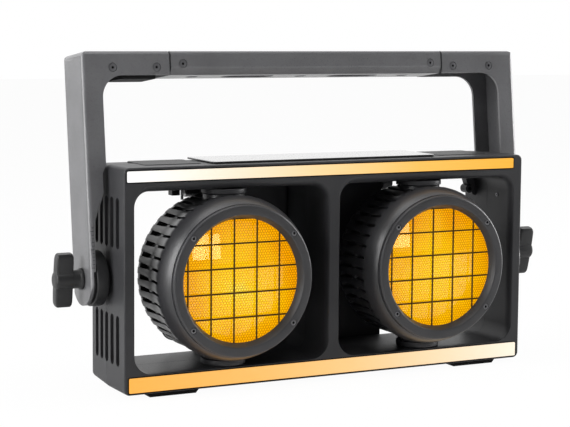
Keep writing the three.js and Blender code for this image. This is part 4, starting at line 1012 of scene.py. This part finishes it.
def yokeArm():
    o, high, h, p, r, low = [yoke[key] for key in ("outer", "top", "half", "plate", "fold", "barLow")]
    k, c, joint, waist = [yoke[key] for key in ("innerCorner", "outerCorner", "joint", "waist")]
    inner = o - yoke["flange"]
    z1, z2, z3, z4 = yoke["waistZ"]
    lip, lipLow = o - yoke["lip"], yoke["lipLow"]
    face = np.concatenate([
        [(o, -h)], arc(o - c, high - c, c, 0, 90), [(joint, high), (joint, low)],
        arc(inner - k, low - k, k, 90, 0, 14), [(inner, z1), (inner + waist, z2), (inner + waist, z3), (lip, z4),
                                                (lip, lipLow), (o - p, lipLow), (o - p, -h)]])
    start = joint - past
    plan = np.concatenate([[(start, -h)], arc(o - r, r - h, r, -90, 0), arc(o - r, h - r, r, 0, 90), [(start, h)]])
    flank = np.concatenate([arc(0, 0, h, 180, 360, 40), arc(h - r, high - r, r, 0, 90),
                            arc(r - h, high - r, r, 90, 180)])
    folded = combined(prism(face, "y", -h, h), [prism(plan, "z", -h - past, high + past),
                                                prism(flank, "x", start, o + past)], "INTERSECT")
    channel = slab("y", p - h, h - p, start - past, o - p, -h - past, high - p, 1, 4)
    bore = rod(tilt["bore"], o - p - past, o + past, "x", (0, 0, 0), 48)
    return combined(folded, [channel, bore, *[screwWell(x, z) for x, z in yokeScrews["arm"]]])


def barSection(inset, bevelInset, soften):
    sharp, blunt = bar["soft"]
    low, high, wide = yoke["barLow"] + inset, yoke["top"] - inset, yoke["half"] - inset
    half = yoke["half"] - bar["bevelDepth"] - bevelInset
    up = yoke["barLow"] + bar["bevelHeight"] + bevelInset / 2
    corners = [(-half, low), (half, low), (wide, up), (wide, high), (-wide, high), (-wide, up)]
    return softened(corners, [sharp, sharp, blunt, soften, soften, blunt], 6)


def crossBar():
    p, low, high = yoke["plate"], yoke["barLow"] - past, yoke["top"] + past
    end, a, b = yoke["joint"] - yoke["gap"], bar["slotReach"], bar["slotRadius"]
    tools = [prism(barSection(p, p / 2, bar["innerSoft"]), "x", -end - past, end + past)]
    tools += [roundPlug(x, 0, bar["clampRadius"], "z", low, high, 10) for x in bar["clampHoles"]]
    tools += [slabAbout(x, 0, a, b, b - sliver, "z", low, high, 12) for x in bar["slots"]]
    tools += [screwWell(sign * x, z) for sign in (-1, 1) for x, z in yokeScrews["bar"]]
    return combined(prism(barSection(0, 0, yoke["fold"]), "x", -end, end), tools)


def flatScrew(x, z):
    # countersunk head, flush with the yoke's front, and the black six-sided plug in its recess as painted shade
    y, r, depth = -yoke["half"] + yokeScrews["sink"], yokeScrews["radius"], yokeScrews["depth"]
    profile = [(0, y), (r, y), (r - yokeScrews["taper"], y + depth), (0, y + depth)]
    hexagon = polygon(x, z, yokeScrews["core"], 6, x)
    low, high = yokeScrews["coreDepth"]
    screw = combined(turned(profile, [0, 0.5, 0.2, 0], "y", (x, 0, z), 32), [prism(hexagon, "y", y - past, y + past)])
    return screw, prism(hexagon, "y", y + low, y + high)


def angleTicks(side):
    # fine raised marks on the arm's narrow front lip, every fifth one longer
    marks = []
    for i in range(ticks["count"]):
        z, start = ticks["first"] + i * ticks["pitch"], yoke["outer"] - ticks["start"]
        ends = span(side, start, start + ticks["short" if i % 5 else "long"])
        depths = [depth - yoke["half"] for depth in ticks["depth"]]
        marks.append(slab("y", *depths, *ends, z - ticks["half"], z + ticks["half"], ticks["corner"], 2))
    return joined(*marks)


arm = yokeArm()
piece("yokeArmRight", leant(arm), "yoke", "yoke_arm_right", "yoke", "yoke", bevel=0.45)
piece("yokeArmLeft", leant(mirrored(arm)), "yoke", "yoke_arm_left", "yoke", "yoke", bevel=0.45)
piece("crossBar", leant(crossBar()), "yoke", "cross_bar", "yoke", "yoke", bevel=0.45)
# the dark plate that closes the left arm's channel from below beside the joint: painted shade where the channel's
# inside lies in shade
underPlate = slab("z", *plate["z"], *plate["x"], *plate["y"], plate["corner"], 6)
piece("underPlate", leant(underPlate), "rubber", body="yoke", bevel=0.5)
screws, shadeCores = zip(*[flatScrew(sign * x, z) for sign in (-1, 1) for x, z in yokeScrews["arm"] + yokeScrews["bar"]])
piece("yokeScrews", leant(joined(*screws)), "screw", body="yoke")
# the black plugs in the screws' recesses are painted shade
piece("yokeScrewFloors", leant(joined(*shadeCores)), "black", body="yoke")
piece("angleTicks", leant(joined(*onBothSides(angleTicks))), "mark", body="yoke")
print("yoke made")

# tilt pivots

disc = {"radius": 28, "collar": 19, "collarDepth": 3.7, "inner": 234.3, "outer": 253.7, "step": (23.4, 3),
        "soft": [0.2, 0.3, 0.3, 1.6, 1.6, 0.4, 0.8, 0.2]}
knob = {"head": (267.6, 285.6), "wing": 27, "thick": 6, "hub": 9.6, "hubSoft": [0, 0.8, 2, 2, 0], "hubTaper": 3.4,
        "neck": 9.2, "neckStart": 257.3, "neckBore": 5.4, "neckFoot": 1.6, "neckSoft": [0, 0.5, 0.8, 0.8, 0, 0],
        "slices": 41, "fall": 14, "slim": 0.4, "pinch": 0.45, "lowFall": 1.4, "highFall": 1.6, "round": (0.8, 2),
        "turn": {"left": 6.5, "right": 13}}


def frictionDisc():
    a, b, r = disc["inner"], disc["outer"], disc["radius"]
    stepRadius, step = disc["step"]
    foot = a + disc["collarDepth"]
    profile = [(tilt["bore"], a), (disc["collar"], a), (disc["collar"], foot), (r, foot), (r, b - step),
               (stepRadius, b - step), (stepRadius, b), (tilt["bore"], b)]
    return turned(profile, disc["soft"], "x", (0, 0, 0), 96, 4)


def wingKnob():
    # the bar is a stack of rounded oblongs along z: full beside the hub, thinner and lower at its ends
    (low, high), slim, (share, most) = knob["head"], knob["slim"], knob["round"]
    rings = []
    for t in np.linspace(-1, 1, knob["slices"]):
        fall = abs(t) ** knob["fall"]
        half = (knob["thick"] - slim * t * t) * math.sqrt(1 - knob["pinch"] * fall)
        ends = low + knob["lowFall"] * fall, high - slim * t * t - knob["highFall"] * fall
        corner = min(half * share, most)
        rings.append(along(roundedRectangle(*ends, -half, half, corner, 6), "z", t * knob["wing"]))
    r, n, start = knob["hub"], knob["neck"], knob["neckStart"]
    hub = turned([(0, low - 0.4), (r, low - 0.4), (r, high - 0.6), (r - knob["hubTaper"], high + 1), (0, high + 1)],
                 knob["hubSoft"], "x", (0, 0, 0), 72, 5)
    bore, foot = knob["neckBore"], n + knob["neckFoot"]
    neck = turned([(bore, start), (foot, start), (foot, start + 2.4), (n, start + 4), (n, low + 1), (bore, low + 1)],
                  knob["neckSoft"], "x", (0, 0, 0), 72)
    return combined(stacked(rings), [hub, neck], "UNION")


knobShape, discShape = wingKnob(), frictionDisc()
for name, side in sides.items():
    piece("knob" + name.capitalize(), atTilt(handed(knobShape, side), knob["turn"][name]), "blackPlastic",
          "knob_" + name, "black_plastic", "knob_" + name, smooth=40)
    piece("frictionDisc" + name.capitalize(), atTilt(handed(discShape, side), 0), "blackPlastic",
          "friction_disc_" + name, "black_plastic")
print("tilt pivots made")

# control housing on the back

control = {"half": 113, "low": -104, "high": 100, "front": 96.3, "tray": 9, "rear": 141.6, "taperX": 28, "taperZ": 22,
           "corner": 12, "edge": 2.6, "well": 16}
display = {"width": 62, "height": 26, "z": 46, "corner": 2, "gap": 0.3, "recess": 1.1, "depth": (-0.8, 1.4)}
button = {"z": 18, "pitch": 18, "radius": 5, "crown": 3.6, "well": 5.25, "heights": (-3, 1.6, 2.4),
          "soft": [0, 0, 0.9, 0.9, 0]}
socket = {"z": -50, "pitch": 40, "well": 11.9, "flange": (13, 15.5, 3), "thick": 2.2, "bore": 8.6,
          "mouth": (11.6, 10.8), "mouthZ": (-12, 2.4, 3.4), "mouthSoft": [0, 0.2, 0.3, 0.5, 0.4],
          "floor": (9, -13, -10.5), "deep": -11, "tower": (3.4, 5, -2), "key": (6.9, 0.9, 0.3, -1), "pins": 4.2,
          "pin": (1, -2), "block": (7.6, -0.6), "pinHole": (1.3, -6), "screw": (10.4, 12.9, 1.7, 1.1)}
fuse = {"x": -60, "z": -12, "radius": 8, "groove": 0.35, "grooves": 24, "inner": 7.1, "levels": (0, 0.6, 7, 8),
        "well": 6.5, "slot": (5.5, 0.8, 0.3, 6.8)}
eyelet = {"x": 60, "z": -12, "base": 9, "baseHeight": 3, "soft": [0, 0.3, 1.2, 0], "reach": 10, "wire": 2.6,
          "rise": 13, "steps": (64, 16)}
gland = {"y": 100.8, "z": 77, "gap": 0.3, "nut": 8, "nutHeight": 5.6, "radius": 6.2, "groove": 0.25, "turns": 5,
         "length": 7.2, "overlap": 0.6}
back = control["rear"] + case["gap"]
thirds = np.radians([90, 210, 330])


def controlRing(y, insetX, insetZ, radius):
    wide = control["half"] - insetX
    return along(roundedRectangle(-wide, wide, control["low"] + insetZ, control["high"] - insetZ, radius), "y", y)


def spread(i, sizes):
    # where the i-th of four stands across the housing
    return (i - 1.5) * sizes["pitch"]


def displayShape(grow, low, high):
    w, h, rear = display["width"] / 2 + grow, display["height"] / 2 + grow, control["rear"]
    corner, steps = display["corner"] + grow, 4 if grow else 6
    return slabAbout(0, display["z"], w, h, corner, "y", rear + low, rear + high, steps)


def controlCover():
    front, rear, e, corner = control["front"] + control["tray"], control["rear"], control["edge"], control["corner"]
    rings = [controlRing(front + case["gap"], 0, 0, corner)]
    for a in quarter(6):
        inset = e * (1 - math.cos(a))
        rings.append(controlRing(rear - e + e * math.sin(a), control["taperX"] + inset, control["taperZ"] + inset,
                                 corner - inset))
    rounds = [(spread(i, sizes), sizes["z"], sizes["well"]) for sizes in (button, socket) for i in range(4)]
    rounds.append((fuse["x"], fuse["z"], fuse["well"]))
    wells = [roundPlug(x, z, r, "y", rear - control["well"], rear + past) for x, z, r in rounds]
    return combined(stacked(rings), [displayShape(display["gap"], -display["recess"], past)] + wells)


def menuButton(i):
    r, low, edge, high = button["radius"], *[control["rear"] + height for height in button["heights"]]
    profile = [(0, low), (r, low), (r, edge), (button["crown"], high), (0, high)]
    return turned(profile, button["soft"], "y", (spread(i, button), 0, button["z"]), 40, 4)


trayFront = control["front"]
tray = stacked([controlRing(y, 0, 0, control["corner"]) for y in (trayFront, trayFront + control["tray"])])
piece("controlTray", tray, "frame", "control_tray", "frame", bevel=0.8)
piece("controlCover", controlCover(), "frame", "control_cover", "frame", bevel=0.5)
piece("displayWindow", displayShape(0, *display["depth"]), "gloss", "display_window", "gloss_panel", bevel=0.6)
for i in range(4):
    node = "menu_button_%d" % (i + 1)
    piece("menuButton%d" % (i + 1), menuButton(i), "rubber", node, "rubber", node)


def socketShell(i):
    # square flange with a raised round mouth and a deep bore
    x, z, (w, h, corner), bore = spread(i, socket), socket["z"], socket["flange"], socket["bore"]
    flange = slabAbout(x, z, w, h, corner, "y", back, back + socket["thick"], 6)
    plug = roundPlug(x, z, bore, "y", back - past, back + socket["thick"] + past, 12)
    wide, crown = socket["mouth"]
    low, edge, high = [back + level for level in socket["mouthZ"]]
    mouth = turned([(bore, low), (wide, low), (wide, edge), (crown, high), (bore, high)], socket["mouthSoft"],
                   "y", (x, 0, z), 56)
    radius, low, high = socket["floor"]
    return joined(combined(flange, [plug]), mouth, rod(radius, back + low, back + high, "y", (x, 0, z), 40))


def socketInsert(i):
    # power sockets hold a keyed ring, data sockets three pins or a block with three holes
    x, z, low = spread(i, socket), socket["z"], back + socket["deep"]
    pinPlaces = [(x + socket["pins"] * math.cos(a), 0, z + socket["pins"] * math.sin(a)) for a in thirds]
    if i < 2:
        near, far, high = socket["tower"]
        tower = [(near, low), (far, low), (far, back + high), (near, back + high)]
        reach, half, corner, high = socket["key"]
        keys = [slabAbout(x + reach * math.cos(a), z + reach * math.sin(a), half, half, corner, "y", low,
                          back + high, 2) for a in thirds]
        return joined(revolved(tower, "y", (x, 0, z), 36), *keys)
    if i == 2:
        r, high = socket["pin"]
        pin = rodProfile(r, low, back + high)
        return joined(*[turned(pin, [0, 0, 0.8, 0], "y", spot, 16) for spot in pinPlaces])
    r, high = socket["block"]
    block = turned(rodProfile(r, low, back + high), [0, 0, 0.5, 0], "y", (x, 0, z), 40)
    r, low = socket["pinHole"]
    return combined(block, [rod(r, back + low, back + past, "y", spot, 16) for spot in pinPlaces])


for i, node in enumerate(["power_in_socket", "power_out_socket", "data_in_socket", "data_out_socket"]):
    word = "".join(part.capitalize() for part in node.split("_"))
    piece("shell" + word, socketShell(i), "blackPlastic", node, "black_plastic")
    piece("insert" + word, socketInsert(i), "brass" if i == 2 else "blackPlastic")
across, up, radius, height = socket["screw"]
spots = [(spread(i, socket) + s * across, back + socket["thick"], socket["z"] - s * up)
         for i in range(4) for s in (-1, 1)]
hexSocketScrews("socketScrews", spots, "y", radius, height, "steel")


def fuseHolder():
    x, z, turn = fuse["x"], fuse["z"], np.linspace(0, 2 * math.pi, 96, endpoint=False)
    rim, small = [np.stack([x + radius * np.cos(turn), z + radius * np.sin(turn)], axis=-1)
                  for radius in (fuse["radius"] - fuse["groove"] * (np.cos(fuse["grooves"] * turn) > 0), fuse["inner"])]
    cap = stacked([along(o, "y", back + level) for o, level in zip((small, rim, rim, small), fuse["levels"])])
    w, h, corner, low = fuse["slot"]
    end = back + fuse["levels"][-1] + past
    return combined(cap, [slabAbout(x, z, w, h, corner, "y", back + low, end, 2)])


def safetyEyelet():
    x, z, r, high = eyelet["x"], eyelet["z"], eyelet["base"], back + eyelet["baseHeight"]
    base = turned(rodProfile(r, back, high), eyelet["soft"], "y", (x, 0, z), 56, 4)
    turn, around = [np.linspace(0, 2 * math.pi, steps, endpoint=False) for steps in eyelet["steps"]]
    reach = eyelet["reach"] + eyelet["wire"] * np.cos(around)[None, :]
    points = np.stack([x + np.cos(turn)[:, None] * reach, back + eyelet["rise"] + np.sin(turn)[:, None] * reach,
                       np.broadcast_to(z + eyelet["wire"] * np.sin(around), eyelet["steps"])], axis=-1)
    return joined(base, meshFrom(points.reshape(-1, 3), gridFaces(*eyelet["steps"], True, True)))


def sideGland(side):
    start = control["half"] + gland["gap"]
    end = start + gland["nutHeight"]
    nut = prism(polygon(gland["y"], gland["z"], gland["nut"], 6), "x", *span(side, start, end))
    steps = np.linspace(0, 1, 29)
    radius = gland["radius"] - gland["groove"] * (np.cos(steps * 2 * math.pi * gland["turns"]) > 0)
    profile = [(0, end - gland["overlap"]), *zip(radius, end + steps * gland["length"]), (0, end + gland["length"])]
    return joined(nut, revolved(np.array(profile) * (1, side), "x", (0, gland["y"], gland["z"]), 40))


piece("fuseCap", fuseHolder(), "blackPlastic", "fuse_holder", "black_plastic")
piece("safetyEyelet", safetyEyelet(), "steel", "safety_eyelet", "steel")
for name, side in sides.items():
    piece("gland" + name.capitalize(), sideGland(side), "grayPlastic", "gland_" + name, "gray_plastic", bevel=0.3)
print("control housing made")

# lamp leads: from the side of the control housing round to the gland at the back of each lamp

lead = {"radius": 3.4, "diameter": 0.0068, "bendFrom": 30, "route": [
    (2.9, 100.8, -77), (-8.8, 100.8, -77), (-17.8, 100.8, -77), (-30.67, 97.4, -71.67), (-36, 94, -57.5),
    (-28, 90.6, -38), (-5.33, 86.4, -38), (0, 78.4, -38), (0, 70.4, -38)]}
relief = {"bore": 3.5, "collar": (6.5, 2.4), "ribs": 4, "first": 3, "pitch": 2.5, "radius": 6.1, "taper": 0.45,
          "rib": (1.5, 1.8, 2.4), "groove": 0.9, "length": 13, "soft": 0.25, "y": 100.8, "z": -79}


def mixedPoints(t, start, end, first, second):
    return (end - t) / (end - start) * first + (t - start) / (end - start) * second


def smoothRoute(points, steps=9):
    # centripetal Catmull-Rom: knots spaced by the root of the distance
    points = np.asarray(points, float)
    full = np.concatenate([[2 * points[0] - points[1]], points, [2 * points[-1] - points[-2]]])
    gaps = np.sqrt(np.linalg.norm(np.diff(full, axis=0), axis=1))
    knots = np.concatenate([[0], np.cumsum(gaps)])
    made = []
    for i in range(1, len(full) - 2):
        k, row = knots[i - 1:i + 3], full[i - 1:i + 3]
        t = np.linspace(k[1], k[2], steps, endpoint=i == len(full) - 3)[:, None]
        row = [mixedPoints(t, k[j], k[j + 1], row[j], row[j + 1]) for j in range(3)]
        row = [mixedPoints(t, k[j], k[j + 2], row[j], row[j + 1]) for j in range(2)]
        made.append(mixedPoints(t, k[1], k[2], *row))
    return np.concatenate(made)


def leadRelief(side):
    # ribbed sleeve where the lead leaves the housing
    start, bore, (collar, collarEnd) = control["half"] + gland["gap"], relief["bore"], relief["collar"]
    profile = [(bore, start), (collar, start), (collar, start + collarEnd)]
    for i in range(relief["ribs"]):
        at, r = start + relief["first"] + i * relief["pitch"], relief["radius"] - relief["taper"] * i
        a, b, c = relief["rib"]
        profile += [(r, at), (r, at + a), (r - relief["groove"], at + b), (r - relief["groove"], at + c)]
    profile = np.array(profile + [(bore, start + relief["length"])]) * (1, side)
    return turned(profile, relief["soft"], "x", (0, relief["y"], relief["z"]), 40, 2)


for name, side in sides.items():
    route = smoothRoute(lead["route"]) * (-side, 1, 1) + (side * lamp["x"], 0, lamp["z"])
    inMetres = route / 1000 + origin
    sleeve = piece("leadRelief" + name.capitalize(), leadRelief(side), "rubber")
    cord = tube(route, lead["radius"], 16)
    cord.name = "lampLead" + name.capitalize()
    made = placed(cord.name, cord)
    cord.materials.append(materials["rubber"])
    cord.shade_smooth()
    tuple(inMetres[lead["bendFrom"]])
    tuple(inMetres[-1])
    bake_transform(made)
    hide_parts("lamp_%s_lead" % name)
    tuple(inMetres[0])
    [tuple(p) for p in inMetres]
print("leads made")

# finishes of the CAD pieces that stay as they are

kept = {
    "steel": ["bar_joiner_left", "bar_joiner_right", "pivot_stud_left", "pivot_stud_right"],
    "rubber": ["foot_front_left", "foot_front_right", "foot_rear_left", "foot_rear_right"],
    "board": ["strip_board_top", "strip_board_bottom", "control_board"],
    "sheetCase": ["power_supply"],
    "mirror": ["lamp_left_reflector", "lamp_right_reflector"],
    "emitter": ["lamp_left_module", "lamp_right_module"],
}
for key, nodes in kept.items():
    for node in nodes:
        for spot in bpy.data.objects[node].material_slots:
            spot.material = materials[key]
print("kept pieces finished")

bpy.context.view_layer.update()
